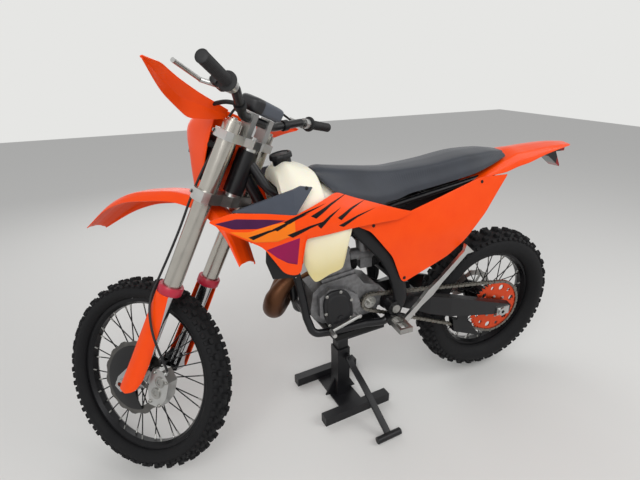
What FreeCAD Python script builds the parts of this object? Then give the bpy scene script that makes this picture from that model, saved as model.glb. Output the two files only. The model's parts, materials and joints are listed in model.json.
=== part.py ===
import FreeCAD, Part
import math
import os

os.makedirs("parts", exist_ok=True)

# Enduro dirt bike held on a paddock lift stand. Millimetres, X forward, Y to the bike's left, Z up.
# The origin is on the floor under the lift stand's cross plate, in the bike's centre plane.

# Wheels and ground
FLOOR_GAP = 24.0            # lowest point of both tyres above the floor
WHEELBASE = 1478.0
REAR_AXLE_X = -690.0
FRONT_TYRE_R = 348.0
REAR_TYRE_R = 343.0
FRONT_TYRE_HALF = 47.0
REAR_TYRE_HALF = 66.0
LUG_ROWS = 28               # rows of lugs round each tyre
FRONT_RIM_R = 273.0
REAR_RIM_R = 236.0
AXLE_R = 12.5
AXLE_BORE_R = 8.0
NUT_R = 16.0
DISC_THICK = 4.0
FRONT_DISC_R = 130.0
FRONT_DISC_Y = 60.0         # inner face of the front brake disc
REAR_DISC_R = 110.0
REAR_DISC_Y = -78.0
RUNNING = 0.05              # radial clearance of a hub on its axle
SEAT_GAP = 0.3              # gap where two pieces lie on each other

# Steering and fork, measured along and across the steering axis
RAKE = 26.3
STEER_REST = -46.0          # turned to the right-hand stop
AXLE_LEAD = 58.0            # axle ahead of the steering axis
LEG_LEAD = 22.0             # fork leg ahead of the steering axis
LEG_Y = 102.0
OUTER_TUBE_R = 29.0
INNER_TUBE_R = 24.0
OUTER_TUBE_LOW = 391.0
LUG_TOP = 84.0              # top of the axle lugs
LUG_HALF = 20.0
FORK_TOP = 947.0
LOWER_CLAMP = (690.0, 725.0)
UPPER_CLAMP = (890.0, 917.0)
STEM_R = 14.0
HEAD_R = 33.0
BAR_HEIGHT = 974.0
BAR_R = 14.0
BAR_END_R = 11.0
BAR_END = (-47.0, 404.0, 1059.0)
BAR_BEND = (-25.0, 215.0, 1030.0)
GRIP_R = 16.5
GRIP_IN = 0.28              # share of the bar end where the grip starts

# Frame, engine and chain
TUBE_R = 15.0
SPAR_R = 16.0
CRADLE_Y = 95.0
CRADLE_Z = 447.0
SPLIT_Y = 62.0              # down tubes beside the exhaust header
REAR_Y = 107.0              # frame tubes outside the chain at the pivot
PIVOT = (-152.0, 505.0)
PIVOT_R = 11.0
PIVOT_ARM_Y = 80.0          # outer face of the swingarm at its pivot
STAND_PIN = (-190.0, 446.0)
STAND_PIN_R = 6.0
CRANK = (93.0, 566.0)
CASE_HALF = 70.0
DECK = (62.0, 650.2)        # middle of the joint under the barrel
BARREL_LEAN = 8.0
INTAKE_END = (-6.0, 703.0)
SHOCK_LOW = (-256.0, 536.3)
SHOCK_HIGH = (-120.0, 862.0)
SPRING_R = 38.0
EYE_R = 16.0
EYE_HALF = 18.0
DRIVE = (-62.0, 531.0)      # drive sprocket's centre
CHAIN_PITCH = 15.875
CHAIN_Y = 81.0
CHAIN_HALF = 8.5
DRIVE_TEETH = 13
SPROCKET_TEETH = 48
SPROCKET_THICK = 6.0
ARM_IN = 97.0               # inner face of the swingarm beside the wheel
ARM_OUT = 124.0

# Lift stand
STAND_Y = -60.0
STAND_TURN = 6.4
RAIL_SIZE = 40.0
RAIL_LENGTH = 315.0
RAIL_SPACING = 272.0
PLATE_THICK = 8.0
COLUMN_SIZE = 60.0
COLUMN_TOP = 250.0
PAD_THICK = 22.0
TOP_LENGTH = 220.0
TOP_WIDTH = 320.0

# Plastic panels
PANEL = 3.5                 # wall of the moulded panels

REAR_AXLE_Z = FLOOR_GAP + REAR_TYRE_R
FRONT_AXLE_X = REAR_AXLE_X + WHEELBASE
FRONT_AXLE_Z = FLOOR_GAP + FRONT_TYRE_R
SIN_RAKE = math.sin(math.radians(RAKE))
COS_RAKE = math.cos(math.radians(RAKE))


def vec(x, y, z):
    return FreeCAD.Vector(x, y, z)


AXLE_POINT = vec(FRONT_AXLE_X - AXLE_LEAD * COS_RAKE, 0, FRONT_AXLE_Z - AXLE_LEAD * SIN_RAKE)
STEER_AXIS = vec(-SIN_RAKE, 0, COS_RAKE)


def head(forward, along):
    """Row-frame x and z of a point given across and along the steering axis."""
    return (
        AXLE_POINT.x + forward * COS_RAKE - along * SIN_RAKE,
        AXLE_POINT.z + forward * SIN_RAKE + along * COS_RAKE,
    )


def save(name, *shapes):
    """One node: its solids, written to a STEP file."""
    shape = shapes[0] if len(shapes) == 1 else Part.makeCompound(list(shapes))
    shape.exportStep("parts/" + name + ".step")
    return shape


def save_steered(name, *shapes):
    """A node modelled upright in the fork's own frame (x across, z along the steering axis)."""
    lean = FreeCAD.Placement(AXLE_POINT, FreeCAD.Rotation(vec(0, 1, 0), -RAKE))
    turn = FreeCAD.Placement(vec(0, 0, 0), FreeCAD.Rotation(STEER_AXIS, STEER_REST), AXLE_POINT)
    placed = []
    for shape in shapes:
        piece = shape.copy()
        piece.Placement = turn.multiply(lean).multiply(piece.Placement)
        placed.append(piece)
    return save(name, *placed)


def box(x0, x1, y0, y1, z0, z1):
    return Part.makeBox(x1 - x0, y1 - y0, z1 - z0, vec(x0, y0, z0))


def rod(start, end, radius):
    return Part.makeCylinder(radius, (end - start).Length, start, end - start)


def tube(start, end, outer, inner):
    return rod(start, end, outer).cut(rod(start, end, inner))


def axle_rod(x, z, y0, y1, radius):
    return rod(vec(x, y0, z), vec(x, y1, z), radius)


def fuse(*shapes):
    joined = shapes[0].multiFuse(list(shapes[1:])) if len(shapes) > 1 else shapes[0]
    return joined.removeSplitter()


def polygon(points):
    return Part.makePolygon(points + points[:1])


def prism(points, y0, y1):
    """Side outline of (x, z) points, carried across from y0 to y1."""
    return Part.Face(polygon([vec(x, y0, z) for x, z in points])).extrude(vec(0, y1 - y0, 0))


def plate(points, z0, z1):
    """Plan outline of (x, y) points, carried up from z0 to z1."""
    return Part.Face(polygon([vec(x, y, z0) for x, y in points])).extrude(vec(0, 0, z1 - z0))


def mirror(shape):
    return shape.mirror(vec(0, 0, 0), vec(0, 1, 0))


def bent_tube(points, radius, bend):
    """A round tube along straight runs joined by tangent arcs."""
    edges = []
    start = points[0]
    for before, corner, after in zip(points, points[1:], points[2:]):
        incoming = (corner - before).normalize()
        outgoing = (after - corner).normalize()
        half = incoming.getAngle(outgoing) / 2
        setback = bend * math.tan(half)
        first = corner - incoming * setback
        last = corner + outgoing * setback
        inward = (outgoing - incoming).normalize()
        middle = corner + inward * (bend / math.cos(half) - bend)
        edges.append(Part.LineSegment(start, first).toShape())
        edges.append(Part.Arc(first, middle, last).toShape())
        start = last
    edges.append(Part.LineSegment(start, points[-1]).toShape())
    path = Part.Wire(edges)
    ring = Part.Wire(Part.Circle(points[0], points[1] - points[0], radius).toShape())
    return path.makePipeShell([ring], True, False)


def cone_run(stations):
    """A pipe of rolled cones: stations of (point, radius), each ring square to the path's turn."""
    rings = []
    last = len(stations) - 1
    for i, (point, radius) in enumerate(stations):
        before = stations[max(i - 1, 0)][0]
        after = stations[min(i + 1, last)][0]
        along = (after - before).normalize()
        side = along.cross(vec(0.1, 0.2, 1)).normalize()
        turn = FreeCAD.Rotation(side, along.cross(side), along, "ZXY")
        ring = Part.Circle(vec(0, 0, 0), vec(0, 0, 1), radius).toShape()
        ring.Placement = FreeCAD.Placement(point, turn)
        rings.append(Part.Wire(ring))
    return Part.makeLoft(rings, True, True)


def loft(sections):
    """A solid through closed outlines of as many points each."""
    return Part.makeLoft([polygon(s) for s in sections], True, True)


def trough(x, z_top, half, drop, crown, wall=PANEL):
    """Thin arched section across the bike: a crowned top with a skirt down each side."""
    outer = [(-half, -drop), (-half * 0.8, -crown), (0, 0), (half * 0.8, -crown), (half, -drop)]
    inner = [(y * (half - wall) / half, z - wall) for y, z in outer]
    inner[0] = (-half + wall, -drop)
    inner[-1] = (half - wall, -drop)
    return [vec(x, y, z_top + z) for y, z in outer + inner[::-1]]


def side_skin(stations, wall, outline):
    """A moulded side panel: thin sections (x, [(y, z), ...]) lofted, then cut to its side outline."""
    sections = []
    for x, curve in stations:
        outer = [vec(x, y, z) for y, z in curve]
        inner = [vec(x, y - wall, z) for y, z in curve]
        sections.append(outer + inner[::-1])
    return loft(sections).common(prism(outline, 0, 400))


def wheel_tyre(centre_z, centre_x, radius, half, bead_r, lug, rows, crown):
    """A knobbly tyre in flat facets: the casing in strips, with lugs one cell long raised on them.
    Even rows carry two middle lugs and two edge lugs, odd rows two lugs between those."""
    base = radius - lug
    # columns of the tread: share of the half width, drop of the casing below its crown
    shares = [(-1.0, 1.0), (-0.66, 0.42), (-0.36, 0.12), (-0.06, 0.0)]
    shares += [(-y, d) for y, d in shares[::-1]]
    tread = [(y * half, base - d * crown) for y, d in shares]
    raised = {0: (0, 2, 4, 6), 2: (1, 5)}
    side_r = bead_r + 0.45 * (base - crown - bead_r)
    turn = 2 * math.pi / (rows * 2)
    cells = rows * 2
    angles = []
    for i in range(cells):
        start = (i // 2) * 2 * turn
        angles.append(start if i % 2 == 0 else start + 0.9 * turn)

    def point(y, r, k):
        a = angles[k % cells]
        return vec(centre_x + r * math.cos(a), y, centre_z + r * math.sin(a))

    def lugs_of(k):
        return raised.get(k % 4, ())

    def face(corners):
        return Part.Face(polygon(corners))

    faces = []
    bead_y = half * 0.6
    side_y = half * 1.0
    for k in range(cells):
        top = lugs_of(k)
        for c in range(7):
            (y0, r0), (y1, r1) = tread[c], tread[c + 1]
            up = lug if c in top else 0.0
            faces.append(face([point(y0, r0 + up, k), point(y1, r1 + up, k),
                               point(y1, r1 + up, k + 1), point(y0, r0 + up, k + 1)]))
            if c in top:
                for y, r in ((y0, r0), (y1, r1)):
                    faces.append(face([point(y, r, k), point(y, r, k + 1),
                                       point(y, r + lug, k + 1), point(y, r + lug, k)]))
                for j in (k, k + 1):
                    faces.append(face([point(y0, r0, j), point(y1, r1, j),
                                       point(y1, r1 + lug, j), point(y0, r0 + lug, j)]))
        for side in (-1, 1):
            shoulder = (side * half, tread[0][1])
            belly = (side * side_y, side_r)
            bead = (side * bead_y, bead_r)
            for (ya, ra), (yb, rb) in ((shoulder, belly), (belly, bead)):
                faces.append(face([point(ya, ra, k), point(ya, ra, k + 1),
                                   point(yb, rb, k + 1), point(yb, rb, k)]))
        faces.append(face([point(-bead_y, bead_r, k), point(bead_y, bead_r, k),
                           point(bead_y, bead_r, k + 1), point(-bead_y, bead_r, k + 1)]))
    shell = Part.makeShell(faces)
    shell.sewShape()
    solid = Part.makeSolid(shell)
    if solid.Volume < 0:
        solid.reverse()
    return solid


def revolve(profile, x, z):
    """A closed (y, r) profile turned about the wheel's axis."""
    wire = polygon([vec(x, y, z + r) for y, r in profile])
    return Part.Face(wire).revolve(vec(x, 0, z), vec(0, 1, 0), 360)


def spokes(x, z, hub_y, hub_r, rim_y, rim_r, count, radius):
    """Laced spokes: pairs leaning to either side, alternating between the two hub flanges."""
    found = []
    for i in range(count):
        side = 1 if i % 2 else -1
        lean = 0.30 if (i // 2) % 2 else -0.30
        a = 2 * math.pi * i / count
        b = a + lean * 1.6
        start = vec(x + hub_r * math.cos(b), side * hub_y, z + hub_r * math.sin(b))
        end = vec(x + rim_r * math.cos(a), side * rim_y, z + rim_r * math.sin(a))
        along = (end - start).normalize()
        across = along.cross(vec(0, 1, 0)).normalize()
        up = along.cross(across)
        corners = [
            start + across * (radius * math.cos(t)) + up * (radius * math.sin(t))
            for t in (math.radians(60 * n) for n in range(6))
        ]
        found.append(Part.Face(polygon(corners)).extrude(end - start))
    return found


def wave_disc(x, z, y0, thick, outer, inner, waves):
    """A wavy brake disc on six arms."""
    points = []
    for i in range(waves * 4):
        r = outer - (5.0 if i % 4 in (0, 1) else 0.0)
        a = 2 * math.pi * i / (waves * 4)
        points.append((x + r * math.cos(a), z + r * math.sin(a)))
    disc = prism(points, y0, y0 + thick)
    disc = disc.cut(axle_rod(x, z, y0 - 1, y0 + thick + 1, outer - 30))
    arms = [axle_rod(x, z, y0, y0 + thick, inner + 9)]
    for i in range(6):
        arm = box(inner, outer - 25, y0, y0 + thick, -7, 7)
        arm.rotate(vec(0, 0, 0), vec(0, 1, 0), 60 * i)
        arm.translate(vec(x, 0, z))
        arms.append(arm)
    return fuse(disc, *arms).cut(axle_rod(x, z, y0 - 1, y0 + thick + 1, inner))


def gear_outline(x, z, teeth, root, tip, phase):
    points = []
    step = 2 * math.pi / teeth
    for i in range(teeth):
        for share, r in ((-0.36, root), (-0.16, tip), (0.16, tip), (0.36, root)):
            a = phase + (i + share) * step
            points.append((x + r * math.cos(a), z + r * math.sin(a)))
    return points


HUB_Y = REAR_Y + SPAR_R + 2     # outer face of the frame's pivot bosses
PEG_Y = HUB_Y + 3               # outer face of the footpeg mounts
STAND_INNER = 126.0             # inner face of the side stand's eye
STAND_FOOT = vec(-440, 152, 716)


# Lift stand: two rails tied by a cross plate, a telescoping column and a rubber-topped plate.

def lift_stand():
    half = RAIL_SPACING / 2
    rails = [
        box(-RAIL_LENGTH / 2, RAIL_LENGTH / 2, y - RAIL_SIZE / 2, y + RAIL_SIZE / 2, 0, RAIL_SIZE)
        for y in (-half, half)
    ]
    cross = box(-55, 55, -half, half, 0, PLATE_THICK)
    size = COLUMN_SIZE / 2
    column = box(-size, size, -size, size, 0, COLUMN_TOP)
    gusset = [(-size - 45, PLATE_THICK), (size + 45, PLATE_THICK), (size, 90), (-size, 90)]
    webs = prism(gusset, -4, 4)
    stand = fuse(*rails, cross, column, webs)
    stand.rotate(vec(0, 0, 0), vec(0, 0, 1), STAND_TURN)
    stand.translate(vec(0, STAND_Y, 0))
    return stand


CRADLE_UNDER = CRADLE_Z - TUBE_R


def stand_top():
    under = CRADLE_UNDER - SEAT_GAP
    slide = COLUMN_SIZE / 2 - 6
    lower = under - PAD_THICK
    post = box(-slide, slide, -slide, slide, COLUMN_TOP, lower - PLATE_THICK)
    top = box(-TOP_LENGTH / 2, TOP_LENGTH / 2, -TOP_WIDTH / 2, TOP_WIDTH / 2, lower - PLATE_THICK, lower)
    post = fuse(post, top)
    post.rotate(vec(0, 0, 0), vec(0, 0, 1), STAND_TURN)
    post.translate(vec(0, STAND_Y, 0))
    pad = box(-TOP_LENGTH / 2, TOP_LENGTH / 2, -TOP_WIDTH / 2, TOP_WIDTH / 2, lower, under)
    pad.rotate(vec(0, 0, 0), vec(0, 0, 1), STAND_TURN)
    pad.translate(vec(0, STAND_Y, 0))
    return post, pad


def stand_lever():
    size = COLUMN_SIZE / 2
    arm = bent_tube([vec(-14, size + 9, 214), vec(-20, 150, 150), vec(-34, 322, 13)], 9, 120)
    bar = box(-90, 22, 316, 340, 0, 24)
    pivot = rod(vec(-14, size, 210), vec(-14, size + 22, 210), 14)
    lever = fuse(arm, bar, pivot)
    lever.rotate(vec(0, 0, 0), vec(0, 0, 1), STAND_TURN)
    lever.translate(vec(0, STAND_Y, 0))
    return lever


save("lift_stand", lift_stand())
post, pad = stand_top()
save("stand_column", post)
save("stand_pad", pad)
save("stand_lever", stand_lever())


# Main frame: steering head, a down tube that splits into the cradle, and two spars to the pivot.

HEAD_LOW = LOWER_CLAMP[1] + 10
HEAD_HIGH = UPPER_CLAMP[0] - 10


def main_frame():
    low_x, low_z = head(0, HEAD_LOW)
    high_x, high_z = head(0, HEAD_HIGH)
    low = vec(low_x, 0, low_z)
    high = vec(high_x, 0, high_z)
    neck = rod(low, high, HEAD_R)
    mid_x, mid_z = head(-12, (HEAD_LOW + HEAD_HIGH) / 2)
    down = rod(vec(mid_x, 0, mid_z), vec(238, 0, 758), 20)
    sides = []
    top_x, top_z = head(-10, HEAD_HIGH - 30)
    for s in (1, -1):
        cradle = bent_tube(
            [vec(240, s * 8, 768), vec(224, s * SPLIT_Y, 695), vec(205, s * SPLIT_Y, 600),
             vec(195, s * 72, 517), vec(178, s * CRADLE_Y, CRADLE_Z + 9), vec(110, s * CRADLE_Y, CRADLE_Z),
             vec(-40, s * CRADLE_Y, CRADLE_Z), vec(-112, s * (REAR_Y + 1), CRADLE_Z),
             vec(-166, s * (REAR_Y + 1), PIVOT[1] - 15)], TUBE_R, 34)
        spar = bent_tube(
            [vec(top_x, s * 8, top_z), vec(300, s * 45, 1010), vec(20, s * 86, 866), vec(-128, s * 99, 700),
             vec(-176, s * REAR_Y, 560), vec(-166, s * REAR_Y, PIVOT[1] - 10)], SPAR_R, 60)
        brace = rod(vec(150, s * 68, 933), vec(251, s * 14, 790), 10)
        boss = axle_rod(PIVOT[0], PIVOT[1], s * (PIVOT_ARM_Y + SEAT_GAP), s * HUB_Y, 30)
        sides += [cradle, spar, brace, boss, peg_lug(s), shock_cheek(s)]
    tie = axle_rod(-142, 640, -CRADLE_Y, CRADLE_Y, 14)
    lower_tie = axle_rod(-100, CRADLE_Z, -CRADLE_Y, CRADLE_Y, 11)
    upper_tie = axle_rod(10, 852, -86, 86, 12)
    frame = fuse(neck, down, tie, lower_tie, upper_tie, stand_lug(), *sides)
    bore_low = low - STEER_AXIS * 2
    bore_high = high + STEER_AXIS * 2
    frame = frame.cut(rod(bore_low, bore_high, STEM_R + 6))
    return frame.cut(axle_rod(PIVOT[0], PIVOT[1], -140, 140, PIVOT_R))


def peg_lug(s):
    return box(-168, -116, min(s * 104, s * PEG_Y), max(s * 104, s * PEG_Y), 456, 480)


def shock_cheek(s):
    """One ear of the clevis that holds the top of the shock."""
    y0, y1 = sorted((s * (EYE_HALF + SEAT_GAP), s * (EYE_HALF + 8)))
    x, z = SHOCK_HIGH
    return prism([(10, 858), (10, 846), (x + 6, z - 16), (x - 16, z - 6), (x - 12, z + 18)], y0, y1)


def stand_lug():
    """Plate outside the left cradle tube, with the side stand's pin."""
    x, z = STAND_PIN
    plate_out = STAND_INNER - SEAT_GAP
    lug = prism([(x - 15, z - 15), (x - 15, z + 14), (-150, z + 40), (-130, z - 14)], REAR_Y, plate_out)
    return fuse(lug, axle_rod(x, z, REAR_Y, STAND_INNER + 24, STAND_PIN_R))


save("main_frame", main_frame())


# Subframe: two tubes each side from the spars back to the tail.

def subframe():
    parts = []
    for s in (1, -1):
        upper = bent_tube([vec(-8, s * 62, 842), vec(-150, s * 62, 904), vec(-640, s * 60, 985)], 11, 90)
        lower = bent_tube([vec(-134, s * 70, 693), vec(-260, s * 68, 760), vec(-600, s * 60, 972)], 10, 90)
        parts += [upper, lower]
        for x, z, y in ((-14, 838, 71.3), (-134, 694, 82.4)):
            parts.append(axle_rod(x, z, min(s * 58, s * y), max(s * 58, s * y), 9))
    for x, z in ((-300, 928), (-620, 982)):
        parts.append(axle_rod(x, z, -62, 62, 9))
    return fuse(*parts)


save("subframe", subframe())


# Swingarm: two tapered box arms joined in front of the tyre, on a pivot bolt.

def arm_section(x, y_in, y_out, z_low, z_high, s):
    return [vec(x, s * y_in, z_low), vec(x, s * y_out, z_low + 6), vec(x, s * y_out, z_high - 6),
            vec(x, s * y_in, z_high)]


def swingarm():
    parts = []
    # columns: x, inner y, outer y, lowest z, highest z
    rows = [
        (PIVOT[0] + 26, 48, PIVOT_ARM_Y, 480, 530),
        (PIVOT[0] - 36, 50, PIVOT_ARM_Y, 474, 532),
        (-250, 60, 100, 456, 528),
        (-320, 88, 117, 428, 520),
        (-420, ARM_IN, ARM_OUT, 396, 496),
        (-640, ARM_IN, ARM_OUT, 352, 424),
        (-742, ARM_IN, ARM_OUT, 345, 392),
    ]
    x, z = SHOCK_LOW
    deck = z - EYE_R - SEAT_GAP
    for s in (1, -1):
        parts.append(loft([arm_section(*row, s) for row in rows]))
        y0, y1 = sorted((s * (EYE_HALF + SEAT_GAP), s * (EYE_HALF + 8)))
        parts.append(prism([(x - 26, deck - 5), (x + 26, deck - 5), (x + 13, z + 14), (x - 13, z + 14)], y0, y1))
    parts.append(box(x - 36, x + 34, -70, 70, deck - 50, deck))
    arm = fuse(*parts)
    arm = arm.cut(axle_rod(PIVOT[0], PIVOT[1], -90, 90, PIVOT_R + RUNNING))
    return arm.cut(axle_rod(REAR_AXLE_X, REAR_AXLE_Z, -140, 140, AXLE_R))


def pivot_bolt():
    half = HUB_Y
    bolt = axle_rod(PIVOT[0], PIVOT[1], -half, half, PIVOT_R - 0.02)
    heads = [axle_rod(PIVOT[0], PIVOT[1], y, y + 6, 17) for y in (-half - 6, half)]
    return fuse(bolt, *heads)


def rear_axle():
    """Hollow axle with its adjuster blocks outside the arms."""
    axle = axle_rod(REAR_AXLE_X, REAR_AXLE_Z, -ARM_OUT - 14, ARM_OUT + 14, AXLE_R - 0.02)
    blocks = []
    for y in (-ARM_OUT - 6, ARM_OUT):
        blocks.append(box(REAR_AXLE_X - 40, REAR_AXLE_X + 26, y, y + 6, REAR_AXLE_Z - 19, REAR_AXLE_Z + 19))
    nuts = [axle_rod(REAR_AXLE_X, REAR_AXLE_Z, y, y + 8, 19) for y in (-ARM_OUT - 14, ARM_OUT + 6)]
    whole = fuse(axle, *blocks, *nuts)
    return whole.cut(axle_rod(REAR_AXLE_X, REAR_AXLE_Z, -160, 160, AXLE_BORE_R))


save("swingarm", swingarm())
save("pivot_bolt", pivot_bolt())
save("rear_axle", rear_axle())


# Engine: closed cases, the cylinder with its head, and the round ignition cover on the left.

def deck_z(x):
    """Height of the case's deck, which leans with the barrel."""
    return DECK[1] - math.tan(math.radians(BARREL_LEAN)) * (x - DECK[0])


def engine_cases():
    outline = [(178, 540), (166, 612), (132, deck_z(132)), (-6, deck_z(-6)), (-40, 612), (-100, 590),
               (-118, 540), (-96, 478), (20, 466), (130, 474), (165, 500)]
    core = prism(outline, -CASE_HALF, CASE_HALF)
    left = prism([(150, 520), (150, 600), (110, 630), (50, 620), (0, 585), (-14, 545), (-14, 506), (10, 490),
                  (60, 488), (120, 492)], CASE_HALF, 96)
    clutch = axle_rod(-10, 556, -112, -CASE_HALF, 66)
    primary = axle_rod(CRANK[0], CRANK[1], -104, -CASE_HALF, 50)
    lug = axle_rod(194, 517, -SPLIT_Y + TUBE_R - 9, SPLIT_Y - TUBE_R + 9, 9)
    lug = fuse(lug, prism([(150, 500), (190, 508), (194, 526), (160, 540)], -40, 40))
    ear = fuse(axle_rod(PIVOT[0], PIVOT[1], -47.7, 47.7, 24),
               prism([(-84, 486), (-84, 556), (-146, 528), (-146, 482)], -47.7, 47.7))
    whole = fuse(core, left, clutch, primary, lug, ear)
    return whole.cut(axle_rod(PIVOT[0], PIVOT[1], -50, 50, PIVOT_R + RUNNING))


def cylinder():
    """Barrel and head lean a little forward over the crankshaft."""
    barrel = box(-58, 58, -56, 56, 0, 108)
    barrel = fuse(barrel, box(-66, 66, -62, 62, 0, 14), box(-62, 62, -60, 60, 92, 108))
    dome = Part.makeCone(54, 40, 30, vec(0, 0, 108), vec(0, 0, 1))
    plug = rod(vec(0, 0, 138), vec(0, 0, 172), 9)
    port = rod(vec(50, 0, 46), vec(*PORT_LOCAL), 25)
    whole = fuse(barrel, dome, plug, port)
    whole.rotate(vec(0, 0, 0), vec(0, 1, 0), BARREL_LEAN)
    whole.translate(vec(DECK[0], 0, DECK[1] + SEAT_GAP))
    intake = rod(vec(40, 0, INTAKE_END[1]), vec(INTAKE_END[0], 0, INTAKE_END[1]), 24)
    return fuse(whole, intake)


PORT_LOCAL = (82.0, 0.0, 40.0)


def port_end():
    """Middle of the exhaust port's face, and the way it points."""
    turn = FreeCAD.Rotation(vec(0, 1, 0), BARREL_LEAN)
    along = turn.multVec(vec(32, 0, -6)).normalize()
    return turn.multVec(vec(*PORT_LOCAL)) + vec(DECK[0], 0, DECK[1] + SEAT_GAP), along


def ignition_cover():
    x, z = CRANK
    cover = Part.makeCone(54, 48, 20, vec(x, 96, z), vec(0, 1, 0))
    cap = Part.makeCylinder(15, 4, vec(x, 116, z), vec(0, 1, 0))
    ears = [axle_rod(x + 55 * math.cos(a), z + 55 * math.sin(a), 96, 108, 8)
            for a in (math.radians(d) for d in (20, 92, 164, 236, 308))]
    return fuse(cover, cap, *ears)


save("engine_cases", engine_cases())
save("cylinder", cylinder())
save("ignition_cover", ignition_cover())


# Carburettor between the cylinder and the airbox.

AIRBOX_FRONT = -128.6

def carburettor():
    x, z = INTAKE_END
    body = rod(vec(x - SEAT_GAP, 0, z), vec(AIRBOX_FRONT + SEAT_GAP, 0, z), 27)
    bowl = box(-96, -46, -25, 25, z - 51, z)
    top = rod(vec(-66, 0, z + 3), vec(-58, 0, z + 65), 22)
    return fuse(body, bowl, top)


def airbox():
    """Closed box under the seat, with a well through it for the shock."""
    # columns: x, half width, lowest z, highest z
    rows = [(AIRBOX_FRONT, 46, 676, 800), (-150, 49, 680, 870), (-230, 49, 700, 896), (-420, 49, 800, 930),
            (-560, 46, 890, 950)]
    whole = loft([[vec(x, -w, a), vec(x, w, a), vec(x, w, b), vec(x, -w, b)] for x, w, a, b in rows])
    low = vec(SHOCK_LOW[0], 0, SHOCK_LOW[1])
    high = vec(SHOCK_HIGH[0], 0, SHOCK_HIGH[1])
    return whole.cut(rod(low, high + (high - low) * 0.2, SPRING_R + 4))


save("carburettor", carburettor())
save("airbox", airbox())


# Exhaust: rolled cones from the cylinder's port, round in front, and back along the right-hand side.

SILENCER_START = vec(-201, -162, 768)
SILENCER_END = vec(-620, -176, 925)


def exhaust_chamber():
    # columns: x, y, z, radius
    rows = [
        (252, 0, 632, 29), (290, -6, 578, 37), (288, -40, 524, 43), (250, -112, 512, 48),
        (198, -158, 560, 50), (150, -170, 622, 46), (96, -172, 664, 39), (30, -168, 694, 29), (-40, -162, 716, 21),
    ]
    start, along = port_end()
    start = start + along * SEAT_GAP
    run = [(start, 22), (start + along * 48, 24)]
    run += [(vec(x, y, z), r) for x, y, z, r in rows]
    back = (SILENCER_END - SILENCER_START).normalize()
    run += [(SILENCER_START - back * 88, 16), (SILENCER_START, 15)]
    return cone_run(run)


def silencer():
    along = (SILENCER_END - SILENCER_START).normalize()
    start = SILENCER_START + along * SEAT_GAP
    end = SILENCER_END
    pipe = rod(start, start + along * 60, 15)
    nose = Part.makeCone(16, 44, 60, start + along * 50, along)
    body = rod(start + along * 110, end, 44)
    tip = Part.makeCone(44, 24, 40, end, along)
    outlet = rod(end + along * 40, end + along * 70, 18)
    whole = fuse(pipe, nose, body, tip, outlet)
    return whole.cut(rod(end + along * 20, end + along * 72, 13))


save("exhaust_chamber", exhaust_chamber())
save("silencer", silencer())


# Shock absorber with its spring, between the frame tie and the swingarm.

def shock():
    low = vec(SHOCK_LOW[0], 0, SHOCK_LOW[1])
    high = vec(SHOCK_HIGH[0], 0, SHOCK_HIGH[1])
    along = (high - low).normalize()
    parts = [rod(low + along * 10, high - along * 10, 12)]
    count = 8
    length = 200.0
    for i in range(count):
        at = low + along * (44 + length * i / (count - 1))
        parts.append(Part.makeCylinder(SPRING_R, 12, at, along))
    parts.append(Part.makeCylinder(SPRING_R - 8, length + 20, low + along * 40, along))
    parts.append(rod(high - along * 74, high - along * 22, 24))
    for x, z in (SHOCK_LOW, SHOCK_HIGH):
        parts.append(axle_rod(x, z, -EYE_HALF, EYE_HALF, EYE_R))
    return fuse(*parts)


save("shock", shock())


# Radiators each side of the down tube, with slanted louvres in front.

RADIATOR_IN = 44.0
RADIATOR_OUT = 160.0
RADIATOR_TALL = 190.0
RADIATOR_LEAN = 24.0
RADIATOR_FOOT = (212.0, 0.0, 757.0)
SHROUD_SEAT = 189.4         # end of the boss that carries the shroud

def radiator_placed(shape):
    shape.rotate(vec(0, 0, 0), vec(0, 1, 0), RADIATOR_LEAN)
    shape.translate(vec(*RADIATOR_FOOT))
    return shape


def radiator(s):
    tall = RADIATOR_TALL
    core = box(0, 34, RADIATOR_IN, RADIATOR_OUT, 0, tall)
    slats = []
    for i in range(8):
        z = 12 + i * (tall - 22) / 8
        slats.append(prism([(34, z), (50, z + 8), (50, z + 12), (34, z + 4)], RADIATOR_IN + 4, RADIATOR_OUT - 4))
    rim = box(34, 50, RADIATOR_OUT - 4, RADIATOR_OUT, 0, tall).fuse(box(34, 50, RADIATOR_IN, RADIATOR_IN + 4, 0, tall))
    whole = radiator_placed(fuse(core, rim, *slats))
    bracket = axle_rod(266, 828, 20 + SEAT_GAP, RADIATOR_IN + 4, 6)
    shroud_boss = axle_rod(274, 860, RADIATOR_OUT - 2, SHROUD_SEAT, 8)
    whole = fuse(whole, bracket, shroud_boss)
    return whole if s > 0 else mirror(whole)


save("radiators", radiator(1), radiator(-1))


# Fuel tank: a saddle over the frame, with a lobe down each side.

# columns: x, height of the tank's crown under the seat
SEAT_LINE = [(138, 1030), (90, 1008), (60, 996), (42, 986)]


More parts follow.
